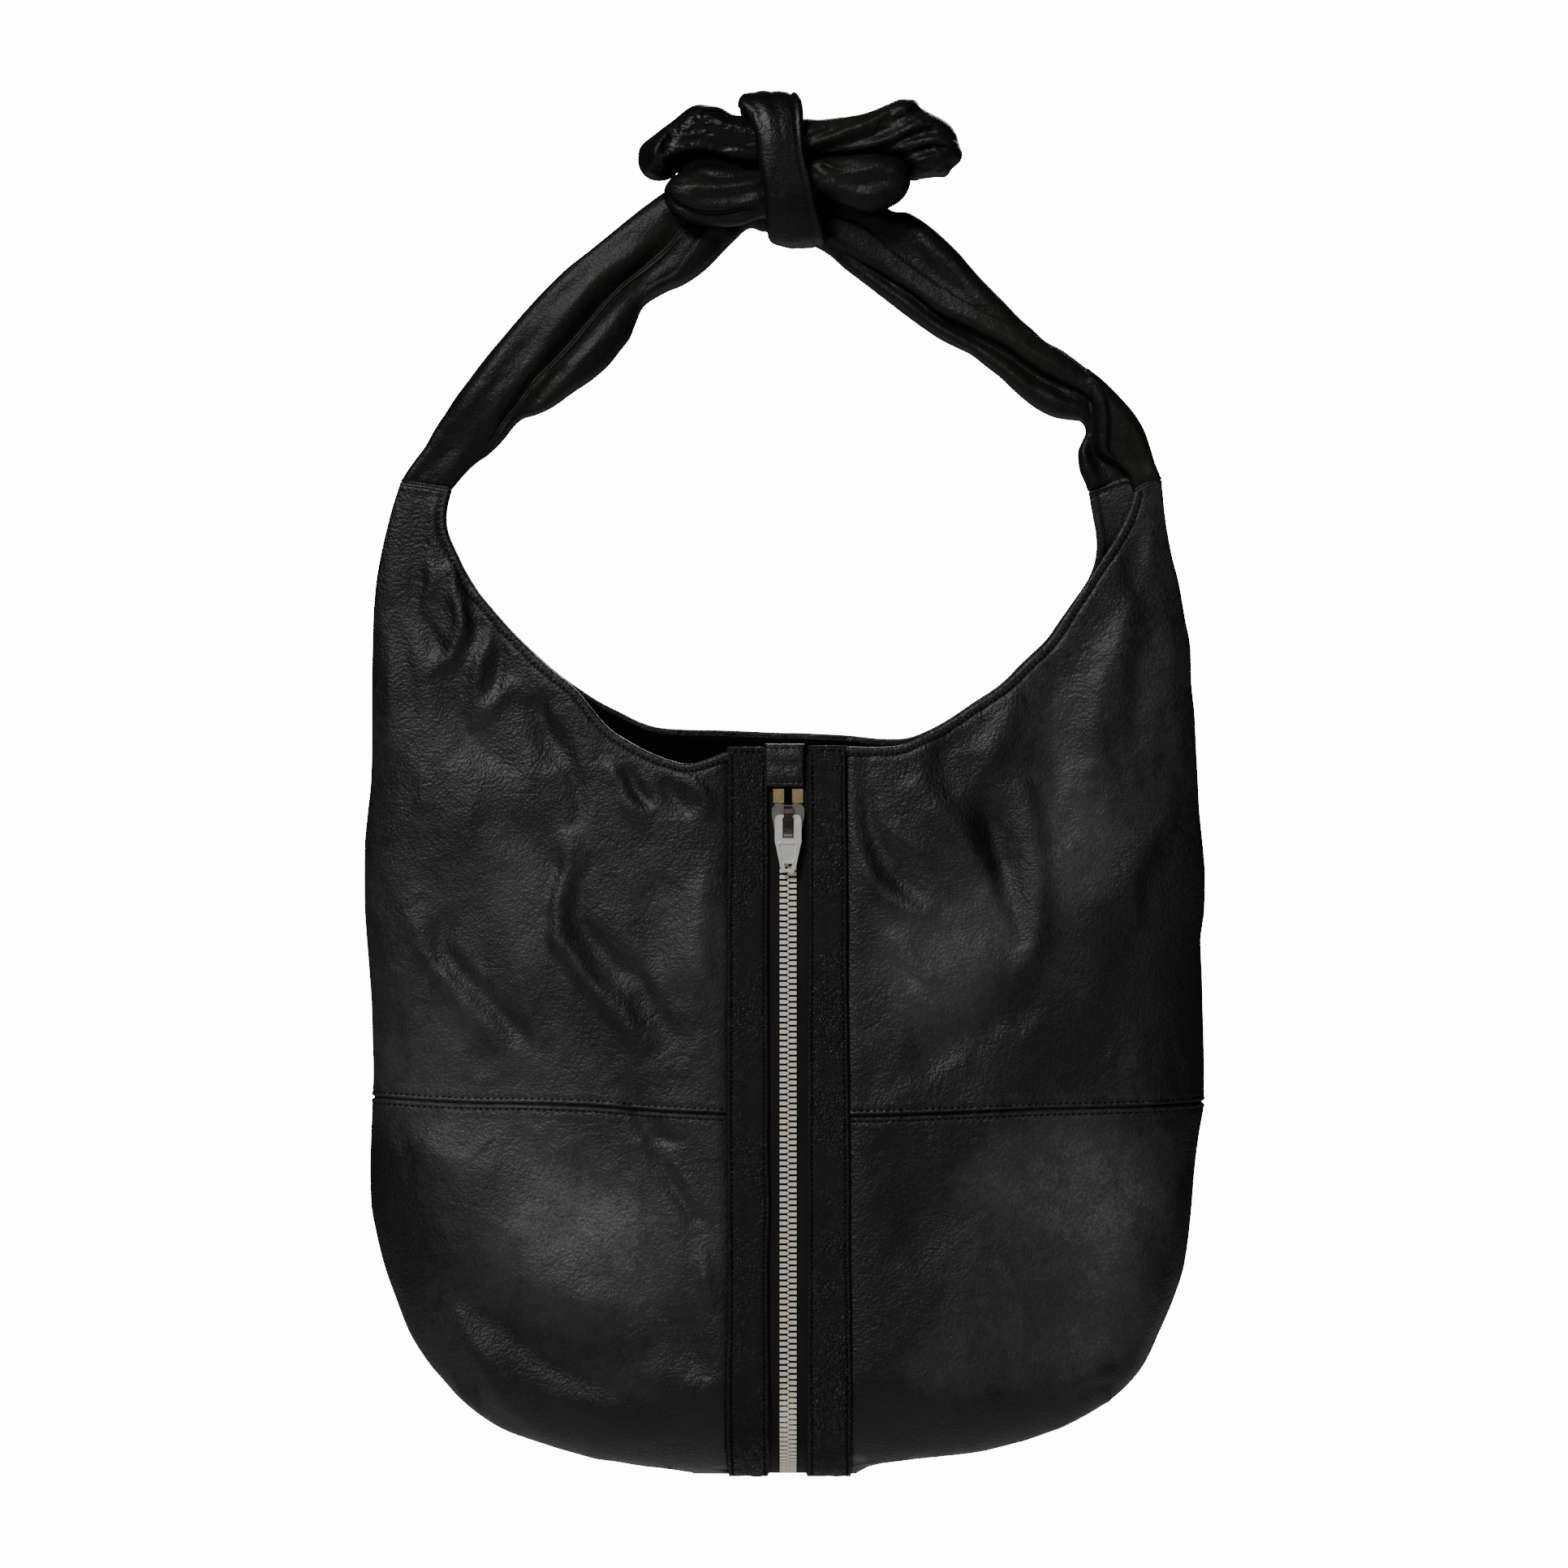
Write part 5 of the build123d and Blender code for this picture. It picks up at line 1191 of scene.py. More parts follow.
# ------------------------------------------------------------------ strap and knot: folded soft leather
def pillow(name, outline, half, roll, yc, folds=(), steps=(), shifts=(), seed=1, h=1.7, wrinkle=(0.35, 9.0, 3.0), angle=0.0, back_folds=(),
           material=None, body="strap", cad=(), step=1.1, rows=(0.1, 0.3, 0.65, 1.15, 1.8, 2.7, 3.8, 5.2)):
    """A folded leather form with a given outline in front view: half thickness, how wide its rolled edge is, and folds on both faces."""
    loop = catmull(outline, closed=True, step=step)
    extra = []
    for line in [q[0] for q in steps] + [q[0] for q in shifts] + [q[0] for q in folds if min(q[2], q[3]) <= 2.1]:
        c = catmull(line, step=0.9)
        e = np.gradient(c, axis=0)
        e /= np.maximum(np.linalg.norm(e, axis=1, keepdims=True), 1e-9)
        e = np.stack([-e[:, 1], e[:, 0]], axis=1)
        extra += [c + e * o for o in (-2.0, -1.2, -0.65, -0.25, 0.1, 0.45, 0.9, 1.5)]
    v, f = region(loop, h, [r for r in rows], np.vstack(extra) if extra else None)
    closed = loop
    d, _, _ = to_line(v, closed)
    d[:1] = d[:1]
    x, z = v[:, 0], v[:, 1]
    on_edge = d < 1e-3
    d[on_edge] = 0.0
    hh = half(x, z) if callable(half) else np.full(len(v), float(half))
    rr = roll(x, z) if callable(roll) else np.full(len(v), float(roll))
    hgt = hh * np.sqrt(np.clip(1 - (1 - np.clip(d / rr, 0, 1)) ** 2, 0, 1))
    mid = yc(x, z) if callable(yc) else np.full(len(v), float(yc))
    fade = smooth(d / 2.2)

    def press(items, kind):
        out = np.zeros(len(v))
        for it in items:
            line = catmull(it[0], step=2.5)
            dd, share, sd = to_line(v, line)
            if kind == "fold":
                amp, wl, wr = it[1:4]
                w = np.where(sd > 0, wl, wr)
                out += amp * np.sin(np.clip(share, 0.02, 0.98) * PI) ** 0.45 * np.exp(-(dd / w) ** 2)
            else:
                amp, w, reach = it[1:4]
                s = dd * np.sign(sd)
                ends = smooth(share / 0.08) * smooth((1 - share) / 0.08) if len(it) < 5 else 1.0
                out += amp * ends * 0.5 * (1 + np.tanh(s / w)) * np.exp(-(np.maximum(s, 0) / reach) ** 2)
        return out

    ca, sa = math.cos(angle), math.sin(angle)
    u, w_ = x * ca + z * sa, -x * sa + z * ca
    amp, lu, lw = wrinkle
    q = np.stack([u / lu + 0.4 * vnoise(np.stack([u / 8, w_ / 6, 0 * u + seed], 1), seed), w_ / lw, 0 * u + seed], 1)
    fine = amp * (1 - 2 * np.abs(fbm(q, 3, seed)))
    big = 0.6 * fbm(np.stack([u / 22, w_ / 9, 0 * u + seed * 3.1], 1), 2, seed + 4)
    fr = press(folds, "fold") + press(steps, "step") + fine + big
    q2 = q + 40
    fb = press(back_folds, "fold") + amp * (1 - 2 * np.abs(fbm(q2, 3, seed + 9))) + 1.1 * fbm(np.stack([u / 26, w_ / 7, 0 * u + seed * 5.3], 1), 2, seed + 14)
    sh = press(shifts, "shift")
    front = np.maximum(hgt + fr * fade, 0.12 * hgt)
    back = np.maximum(hgt + fb * fade, 0.12 * hgt)
    n = len(v)
    F = np.stack([x, mid - front + sh, z], axis=1)
    B = np.stack([x, mid + back + sh, z], axis=1)
    nxt = border(f)
    rim = np.zeros(n, bool)
    rim[list(nxt.keys())] = True
    index = np.arange(n)
    index[~rim] = n + np.arange((~rim).sum())
    F[rim, 1] = mid[rim] + sh[rim]
    verts = np.vstack([F, B[~rim]])
    faces = [list(t) for t in f] + [[int(index[i]) for i in reversed(t)] for t in f]
    ob = mesh(name, verts, faces, material or STRAP_LEATHER, body)
    if cad:
        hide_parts(*cad)
    ob["surface"] = 0
    del ob["surface"]
    return ob, (v, F)


HINGE = 466.0
near_hinge = lambda z: smooth((z - HINGE) / 45.0)

# left tie: broad front flap over an inner layer, a valley between
L_OUT = [(-180.9, 464), (-180.1, 466.3), (-175.6, 473.1), (-169.9, 480.7), (-165.7, 488.3), (-160.7, 495.9), (-155.8, 503.5), (-150.1, 511.1), (-144.4, 518.7), (-138.3, 526.3), (-131.9, 533.9), (-125.4, 541.5), (-118.6, 549.1), (-111.3, 556.7), (-103.4, 564.3), (-93.9, 571.9), (-84.7, 579.5), (-75.6, 587.1), (-66.1, 594.7), (-57.4, 600.8), (-46, 605.3), (-27, 609.1), (-2.3, 609.9)]
L_IN = [(-2.3, 582.5), (-11.8, 581.8), (-17.9, 583.3), (-26.2, 576.5), (-39.1, 563.5), (-49, 556.7), (-57, 553.3), (-67.6, 546.4), (-71.1, 539.2), (-74.1, 531.6), (-78.7, 525.5), (-84, 518.7), (-91.6, 511.9), (-99.9, 506.2), (-110.6, 498.6), (-118.2, 495.1), (-124.3, 493.2), (-128.8, 489.1), (-133, 483.7), (-139.8, 476.9), (-146.7, 472), (-152.4, 466.3), (-156.2, 461.7), (-158.1, 459.8)]
L_BOT = [(-163.8, 460.6), (-171.4, 462.1)]
F1 = [(-46, 587.9), (-50.9, 580.3), (-57, 572.7), (-65.7, 565.1), (-76.4, 557.1), (-84.7, 548.7), (-91.2, 541.1), (-97.7, 532.8), (-105.3, 524), (-111.7, 517.6), (-117.8, 511.5), (-125.4, 500.8), (-131.9, 492.9), (-138.3, 482.2), (-142.5, 477.7)]
F1_BACK = F1[::-1]
left_tie, left_surf = pillow(
    "strap_left_leather", L_OUT + L_IN + L_BOT,
    lambda x, z: 2.6 + 5.2 * near_hinge(z), lambda x, z: 3.0 + 7.0 * near_hinge(z), lambda x, z: 7.0 * smooth((x + 115) / 70), seed=3, angle=0.85,
    wrinkle=(0.3, 10.0, 3.4),
    steps=[(F1, 3.0, 0.3, 26.0),                                   # the flap stands over what lies right of its edge
           ([(-34.6, 590.1), (-41, 579.5), (-44.5, 572.3), (-48.6, 566.6), (-52.8, 561.3), (-61.6, 556.7), (-66.5, 552.5), (-69.2, 546.8)], 2.6, 0.35, 20.0)],
    folds=[([(-49, 581.8), (-65, 567.3), (-83.2, 550.6), (-96.9, 534.7), (-110.6, 519.1), (-123.9, 503.5), (-136.4, 485.3)], -3.8, 1.0, 4.6),
           ([(-50.5, 575.7), (-62.7, 563.5), (-76.4, 550.6), (-87, 539.2), (-96.9, 526.3), (-106.8, 516.8)], -2.4, 4.0, 4.0),
           ([(-103, 517.9), (-112.1, 508.8), (-120.1, 499.7), (-125.8, 493.6)], -3.0, 3.0, 3.2),
           ([(-62.7, 575.7), (-76.4, 567.3), (-89.3, 558.2), (-98.4, 546.8), (-105.3, 536.2), (-112.1, 526.3)], 1.7, 4.2, 5.5),
           ([(-68.8, 583.3), (-83.2, 571.9), (-96.9, 559), (-106.8, 547.6)], -1.3, 4.0, 4.0),
           ([(-103, 555.9), (-115.1, 540.7), (-125.8, 525.5), (-130.3, 520.2)], -1.4, 4.5, 4.5),
           ([(-125.8, 537.7), (-136.4, 522.5), (-147.1, 505), (-153.9, 492.1)], 1.1, 5.0, 5.0),
           ([(-115.1, 522.5), (-125.8, 509.6), (-137.2, 495.1), (-144.8, 482.6)], 1.2, 4.0, 4.0),
           ([(-156.2, 492.1), (-160.7, 481.5), (-166.8, 469.3)], -0.9, 4.0, 4.0),
           ([(-144.8, 492.1), (-151.6, 478.4), (-159.2, 465.5)], 0.9, 3.0, 3.0),
           ([(-83.2, 538.5), (-88.5, 530.1), (-96.9, 520.2), (-106.8, 508.8)], 1.5, 5.0, 4.0),
           ([(-74.1, 540.7), (-75.6, 533.9), (-79.4, 527.8)], -0.9, 3.0, 3.0)],
    body=None, cad=["strap_tie_left"])

# right tie: dark back layer, raised middle strip, rolled lower layer
R_OUT = [(-4.2, 609.1), (18.6, 608.4), (33.8, 603.8), (43.3, 596.2), (49.4, 592), (55.9, 591.3), (61.2, 588.6), (66.5, 584.8), (72.6, 579.5), (80.2, 571.9), (86.6, 564.3), (93.5, 556.7), (101.1, 549.1), (108.3, 541.5), (114.4, 536.2), (121.2, 530.1), (128.4, 526.3), (138.7, 518.7), (148.2, 511.1), (155.8, 503.5), (162.3, 495.9), (166.8, 488.3), (169.5, 480.7), (171.8, 473.1), (174.4, 465.1)]
R_BOT = [(172.1, 464), (167.6, 462.1), (162.6, 459.4), (156.9, 462.8), (148.6, 461.7), (141.4, 459.4)]
R_IN = [(139.1, 464), (136.8, 469.3), (136, 474.6), (136, 478.8), (137.9, 483.4), (139.5, 487.5), (138.7, 490.6), (136.8, 492.5), (131.9, 493.2), (125, 494.4), (118.2, 497.4), (112.1, 501.6), (106, 506.9), (99.6, 513), (92.3, 518.7), (85.5, 524), (78.7, 527.4), (71.4, 531.2), (64.6, 535.8), (57.4, 541.1), (46, 549.9), (34.2, 559), (26.2, 565.1), (19.4, 571.1), (11, 575.7), (-4.2, 579.5)]
R_PIPE = [(7.2, 590.1), (17.9, 588.6), (26.2, 587.1), (34.2, 584.1), (41.4, 578.7), (48.3, 572.3), (57.4, 565.1), (66.9, 558.2), (83.2, 548), (93.1, 542.3), (104.1, 537.3), (120.5, 529.3), (128.8, 523.6), (135.7, 518.3), (141, 513.4), (144.8, 508.4), (148.2, 501.2), (149.3, 489.8), (149.3, 479.9), (152.4, 475.8), (158.5, 473.1)]
R_GROOVE = [(15.6, 578.7), (21.7, 574.6), (34.2, 566.6), (46, 559.4), (57.4, 552.1), (71.4, 541.1), (86.6, 533.9), (101.8, 525.9), (115.9, 515.7), (127.3, 509.6), (137.9, 504.3), (143.3, 497.8), (143.6, 488.3), (143.6, 480.7), (146.3, 476.1), (153.1, 472), (158.1, 467.4), (161.5, 461.7)]
right_tie, right_surf = pillow(
    "strap_right_leather", R_OUT + R_BOT + R_IN,
    lambda x, z: 2.8 + 5.4 * near_hinge(z), lambda x, z: 3.2 + 5.6 * near_hinge(z), lambda x, z: 7.0 * smooth((100 - x) / 60), seed=6, angle=-0.72,
    wrinkle=(0.3, 9.0, 3.4),
    steps=[(R_PIPE[::-1], 3.0, 0.3, 24.0),          # strip stands over the back layer
           (R_GROOVE, -0.2, 0.5, 20.0)],
    folds=[(R_GROOVE, -5.4, 1.2, 3.8),
           ([(68, 543), (86.6, 531.6), (101.8, 522.5), (115.9, 512.6), (127.3, 505.8), (136.4, 499.7)], -3.0, 2.0, 5.0),
           ([(26.2, 577.2), (41.4, 568.9), (57.4, 556.7), (73.7, 545.3), (90.8, 536.9), (109.8, 526.3), (125, 517.9), (136.4, 509.6)], 1.5, 3.0, 3.0),
           ([(26.2, 567.3), (39.5, 558.6), (52.8, 549.1), (68, 538.5), (81.3, 530.1), (92.7, 523.3)], 1.9, 3.2, 3.6),
           ([(87, 525.5), (100.7, 516.4), (110.6, 508.1), (121.2, 500.5), (131.9, 496.7)], 1.4, 4.0, 4.0),
           ([(110.6, 511.1), (115.1, 506.5), (117.4, 500.5)], -1.0, 3.0, 3.0),
           ([(121.2, 505.8), (127.3, 502), (136.4, 497.4), (141, 492.1)], 1.2, 3.0, 3.0),
           ([(56.6, 585.2), (71.8, 568.9), (88.9, 552.1), (106, 538.5)], 0.9, 5.0, 5.0),
           ([(52.8, 575.7), (68, 562.8), (83.2, 552.1)], -1.2, 4.0, 4.0),
           ([(150.9, 499.7), (156.9, 488.3), (161.5, 476.9), (164.5, 467.4)], 1.0, 5.0, 4.0),
           ([(160, 484.5), (163, 476.1), (168.3, 469.3)], -0.9, 2.6, 3.0),
           ([(154.7, 476.9), (161.5, 472.7), (169.1, 471.6)], -0.9, 2.2, 2.4),
           ([(138.7, 481.5), (140.2, 475), (142.5, 467.4), (144.8, 462.5)], 1.0, 3.0, 4.0),
           ([(141.7, 486), (141.4, 479.9), (144.8, 473.1), (150.1, 467)], -2.0, 3.0, 4.0)],
    shifts=[([(142.5, 499.7), (143.6, 488.3), (143.6, 480.7), (146.3, 476.1), (153.1, 472), (158.1, 467.4), (162.3, 457.9)][::-1], 4.6, 0.9, 300.0, True)],
    body=None, cad=["strap_tie_right"])

for tie in (left_tie, right_tie):
    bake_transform(tie)


def on_pillow(surf, line, lift=0.15):
    """Place a front-view line on a pillow's front face."""
    v, F = surf
    c = catmull(line, step=1.2)
    out = []
    for q in c:
        d = np.hypot(v[:, 0] - q[0], v[:, 1] - q[1])
        k = np.argsort(d)[:6]
        w = 1 / (d[k] + 0.15) ** 2
        out.append((q[0], float(np.sum(F[k, 1] * w) / np.sum(w)) - lift, q[1]))
    out = np.array(out)
    out[:, 1] = smooth_path(out, 3)[:, 1]
    return out


def cordlet(name, path, radius, material, body, blend=False):
    """A thin folded edge standing along a line, such as the piped seam of a tie."""
    n = np.tile(np.array([0.0, -1.0, 0.0]), (len(path), 1))
    prof = [(math.cos(a) * radius, math.sin(a) * radius * 0.8) for a in np.linspace(0, 2 * PI, 9)[:-1]]
    taper = smooth(np.minimum(np.arange(len(path)), np.arange(len(path))[::-1]) / 6)[:, None]
    t, nn, a = frames(path, n)
    m = len(prof)
    v = np.stack([path + (a * q[0] + nn * q[1]) * (0.15 + 0.85 * taper) for q in prof], axis=1).reshape(-1, 3)
    f = []
    for i in range(len(path) - 1):
        for s in range(m):
            r = (s + 1) % m
            f.append([i * m + s, i * m + r, (i + 1) * m + r, (i + 1) * m + s])
    f.append(list(range(m))[::-1])
    f.append([(len(path) - 1) * m + s for s in range(m)])
    ob = mesh(name, v, f, material, None if blend else body)
    if blend:
        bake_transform(ob)
    return ob


cordlet("strap_left_piping", on_pillow(left_surf, [(-49, 580.3), (-56.2, 571.9), (-65, 563.9), (-75.6, 555.9), (-84, 547.6), (-90.4, 540), (-96.9, 531.6), (-104.1, 523.3), (-110.6, 516.8), (-116.7, 510.7), (-124.3, 500.1), (-130.3, 492.5)]), 0.5, STRAP_LEATHER, "strap", True)
cordlet("strap_left_inner_edge", on_pillow(left_surf, [(-40.7, 580.3), (-44.1, 572.3), (-48.3, 567), (-52.4, 561.6), (-61.2, 556.7), (-66.1, 552.5), (-68.4, 547.6)]), 0.45, STRAP_LEATHER, "strap")
cordlet("strap_right_piping", on_pillow(right_surf, R_PIPE[1:-1]), 0.5, STRAP_LEATHER, "strap", True)

# ------------------------------------------------------------------ the knot's four bights
pillow("knot_upper_left_leather", [(-2.3, 634.2), (-15.6, 635.4), (-25.5, 636.1), (-31.2, 639.2), (-36.9, 640.3), (-42.2, 640.7), (-47.1, 638.8), (-52.8, 634.2), (-61.2, 627.8), (-69.2, 620.9), (-70.3, 616), (-69.5, 610.7), (-66.5, 606.9), (-62.7, 605.3), (-58.1, 605.3), (-53.6, 607.2), (-49, 612.6), (-43.7, 614.5), (-38.4, 615.2), (-32.3, 614.5), (-25.1, 612.2), (-14.4, 610.7), (-2.3, 609.9)],
       lambda x, z: 16.0 + 0 * x, 9.5, lambda x, z: 1.0 + 0 * x, seed=12, angle=0.1, wrinkle=(0.95, 5.0, 2.0), h=0.95,
       folds=[([(-59.3, 612.2), (-55.1, 616), (-47.9, 618.6), (-38.4, 618.3), (-28.9, 614.8), (-13.7, 611)], 2.2, 2.2, 2.4),
              ([(-56.6, 617.5), (-46, 621.7), (-32.7, 620.9), (-13.7, 616.7)], -2.2, 2.6, 2.6),
              ([(-55.1, 632.7), (-58.1, 625.9), (-60.4, 617.5), (-65, 609.1)], 1.8, 3.0, 3.4),
              ([(-51.3, 632.7), (-52.8, 626.6), (-55.9, 620.5), (-60.4, 614.5)], -1.6, 2.4, 2.4),
              ([(-46, 636.5), (-34.6, 634.2), (-23.2, 628.9), (-12.5, 625.1)], 1.3, 3.0, 3.4),
              ([(-49, 628.9), (-38.4, 626.6), (-25.1, 622.8), (-12.5, 620.5)], -1.2, 2.4, 2.4),
              ([(-37.6, 638.8), (-28.5, 634.2), (-20.1, 632.7)], -1.4, 2.0, 2.0),
              ([(-66.5, 619.8), (-65, 614.5), (-61.9, 609.1)], -1.3, 2.0, 2.0),
              ([(-60.4, 615.2), (-57.4, 611.4), (-58.1, 607.6)], 1.0, 1.4, 1.6),
              ([(-42.2, 632.7), (-36.1, 629.7), (-27.7, 627.4)], 0.8, 1.6, 1.6)],
       material=KNOT_LEATHER, cad=["knot_bow_upper_left"])
pillow("knot_lower_left_leather", [(-2.3, 608.4), (-13.3, 608.8), (-24.3, 609.5), (-31.5, 610.3), (-37.6, 610.7), (-43.7, 609.5), (-48.6, 608.4), (-52.8, 606.5), (-55.9, 603.8), (-57.8, 600), (-57.8, 595.5), (-55.5, 590.9), (-52.1, 587.5), (-47.5, 584.8), (-41.4, 583.3), (-34.6, 582.5), (-27, 582.5), (-20.1, 583.7), (-13.3, 586.3), (-2.3, 587.9)],
       lambda x, z: 9.5 + 0 * x, 10.0, lambda x, z: -9.5 + 0 * x, seed=15, angle=0.0, wrinkle=(0.38, 9.0, 3.2), h=1.25,
       steps=[([(-55.1, 604.6), (-56.2, 600), (-54.3, 595.8), (-49.8, 592), (-42.9, 589.8), (-34.6, 589), (-25.1, 590.1), (-17.5, 591.7), (-9.9, 593.2)], 1.7, 0.3, 14.0)],
       folds=[([(-55.9, 601.5), (-55.5, 597), (-52.8, 593.2), (-46.7, 589.8), (-38.4, 588.2), (-28.9, 588.6), (-19.4, 590.5), (-9.9, 592)], -1.9, 1.0, 1.6),
              ([(-50.5, 604.6), (-39.1, 605.7), (-27, 605.3), (-13.7, 603.8)], -0.6, 3.0, 3.0),
              ([(-47.5, 598.5), (-34.6, 597), (-19.4, 597.4)], 1.0, 4.0, 4.0),
              ([(-41.4, 607.6), (-30.8, 604.2), (-21.3, 605.7), (-11, 608.8)], -1.6, 2.0, 3.0),
              ([(-49, 602.3), (-37.6, 600), (-23.2, 601.5), (-10.3, 603.8)], 1.3, 3.0, 3.0),
              ([(-41.4, 595.1), (-27.7, 595.8), (-16.3, 598.1), (-9.5, 600)], -1.4, 2.4, 3.0),
              ([(-25.1, 583.7), (-17.5, 586.3), (-9.9, 589.4)], -0.8, 1.6, 1.6)],
       material=STRAP_LEATHER, cad=["knot_bow_lower_left"])
pillow("knot_upper_right_leather", [(-2.3, 633.8), (7.2, 634.2), (14.8, 633.8), (22.4, 634.6), (31.2, 635.7), (37.6, 637.3), (42.6, 639.2), (47.5, 641.4), (52.4, 643.3), (56.6, 643.3), (60, 642.6), (62.3, 639.5), (67.3, 636.5), (72.6, 633.8), (76.4, 630.8), (79, 626.6), (80.2, 622.4), (81.7, 617.5), (80.9, 614.5), (77.1, 611), (74.1, 607.2), (68.8, 606.9), (62.7, 606.1), (58.1, 605.3), (53.6, 610.7), (49, 613.7), (31.2, 614.5), (12.2, 613.7), (-2.3, 612.9)],
       lambda x, z: 16.6 + 0 * x, 9.0, lambda x, z: 1.6 + 0 * x, seed=18, angle=0.25, wrinkle=(0.75, 12.0, 1.9), h=0.95,
       folds=[([(10.3, 619.8), (22.4, 625.1), (34.6, 629.7), (45.2, 635.7), (53.6, 640.3)], 2.2, 2.2, 2.4),
              ([(11, 622.1), (22.4, 628.9), (34.6, 633.5), (43.3, 636.5)], -1.8, 2.0, 2.0),
              ([(11.8, 617.5), (26.2, 620.5), (41.4, 625.9), (49, 630.4), (58.9, 635.7), (64.2, 636.5)], -2.2, 2.0, 2.6),
              ([(14.8, 616), (30, 618.3), (46, 622.1), (58.1, 628.9), (68, 631.9), (77.1, 628.1)], 2.0, 2.2, 2.6),
              ([(33.8, 616.7), (47.5, 619.8), (59.7, 625.1), (71.8, 626.6), (80.2, 622.8)], -2.0, 1.8, 2.4),
              ([(45.2, 616), (56.6, 620.5), (68, 622.8), (80.2, 619.8)], 1.9, 2.0, 2.4),
              ([(55.1, 615.2), (64.2, 618.3), (73.7, 619), (80.9, 616.7)], -1.8, 1.8, 2.0),
              ([(55.9, 611.4), (64.2, 613.7), (73.3, 614.5)], 1.6, 2.0, 2.4),
              ([(57.4, 608.4), (65, 609.9), (73.3, 609.1)], -1.2, 1.6, 1.6),
              ([(60.4, 639.5), (58.9, 634.2), (53.6, 628.9)], -1.4, 2.0, 2.0),
              ([(49, 640.3), (47.5, 634.2), (42.9, 629.7)], -1.0, 2.0, 2.0),
              ([(28.5, 634.2), (26.2, 629.7), (18.6, 624.3)], -1.0, 1.8, 1.8)],
       material=STRAP_LEATHER, cad=["knot_bow_upper_right"])
pillow("knot_lower_right_leather", [(-2.3, 612.9), (12.2, 613.7), (21.7, 615.2), (31.2, 616), (39.9, 616.4), (47.9, 615.6), (52.1, 614.5), (55.1, 612.2), (57, 609.1), (57.4, 605.3), (56.6, 600.8), (54.7, 597), (51.7, 593.9), (47.9, 591.7), (43.7, 589.8), (38.4, 589), (33.1, 590.1), (26.2, 592.4), (14.4, 596.6), (-2.3, 600.8)],
       lambda x, z: 9.6 + 0 * x, 10.5, lambda x, z: -9.5 + 0 * x, seed=21, angle=-0.1, wrinkle=(0.4, 9.0, 3.2), h=1.25,
       folds=[([(11, 610.7), (18.6, 607.6), (26.2, 605.3), (33.8, 605.3)], -1.1, 2.4, 2.6),
              ([(11.8, 605.3), (22.4, 600), (33.8, 597), (42.9, 596.2)], 1.0, 4.0, 4.0),
              ([(26.2, 612.2), (37.6, 611.4), (47.5, 609.9), (52.8, 606.1)], 0.9, 3.0, 3.4),
              ([(12.9, 599.3), (26.2, 594.7), (37.6, 592.4)], -0.7, 2.4, 2.4),
              ([(11.8, 609.1), (19.4, 604.2), (28.5, 601.2), (39.1, 600.4)], -1.8, 2.2, 3.4),
              ([(14.1, 612.6), (20.9, 608.4), (28.5, 606.1), (37.6, 608.4), (46.7, 612.2)], 1.3, 2.0, 3.0),
              ([(10.3, 596.6), (22.4, 592.8), (33.1, 591.3)], 1.1, 2.0, 2.0),
              ([(39.9, 603.8), (47.5, 602.7), (54.3, 604.6)], -1.1, 2.6, 3.0),
              ([(15.6, 612.6), (19.4, 609.5), (22.4, 608.4)], 0.8, 1.2, 1.2)],
       material=STRAP_LEATHER, cad=["knot_bow_lower_right"])

# the turned-in leather at the bottom of the eye between the two left bights
pillow("knot_eye_left_leather", [(-8, 618.3), (-21.3, 619), (-32.3, 619), (-42.2, 618.3), (-49, 616), (-52.1, 612.2), (-51.3, 607.6), (-46, 604.6), (-34.6, 603.8), (-21.3, 604.6), (-8, 605.3)],
       lambda x, z: 4.0 + 0 * x, 4.0, lambda x, z: 1.5 + 0 * x, seed=31, angle=0.0, wrinkle=(0.5, 6.0, 2.6), h=1.4,
       material=KNOT_LEATHER)
pillow("knot_eye_right_leather", [(11, 619), (26.2, 619), (41.4, 619), (52.8, 617.5), (57.4, 612.9), (56.6, 607.6), (47.5, 605.3), (30, 606.1), (11, 607.6)],
       lambda x, z: 4.0 + 0 * x, 4.0, lambda x, z: 1.5 + 0 * x, seed=33, angle=0.0, wrinkle=(0.5, 6.0, 2.6), h=1.4,
       material=KNOT_LEATHER)

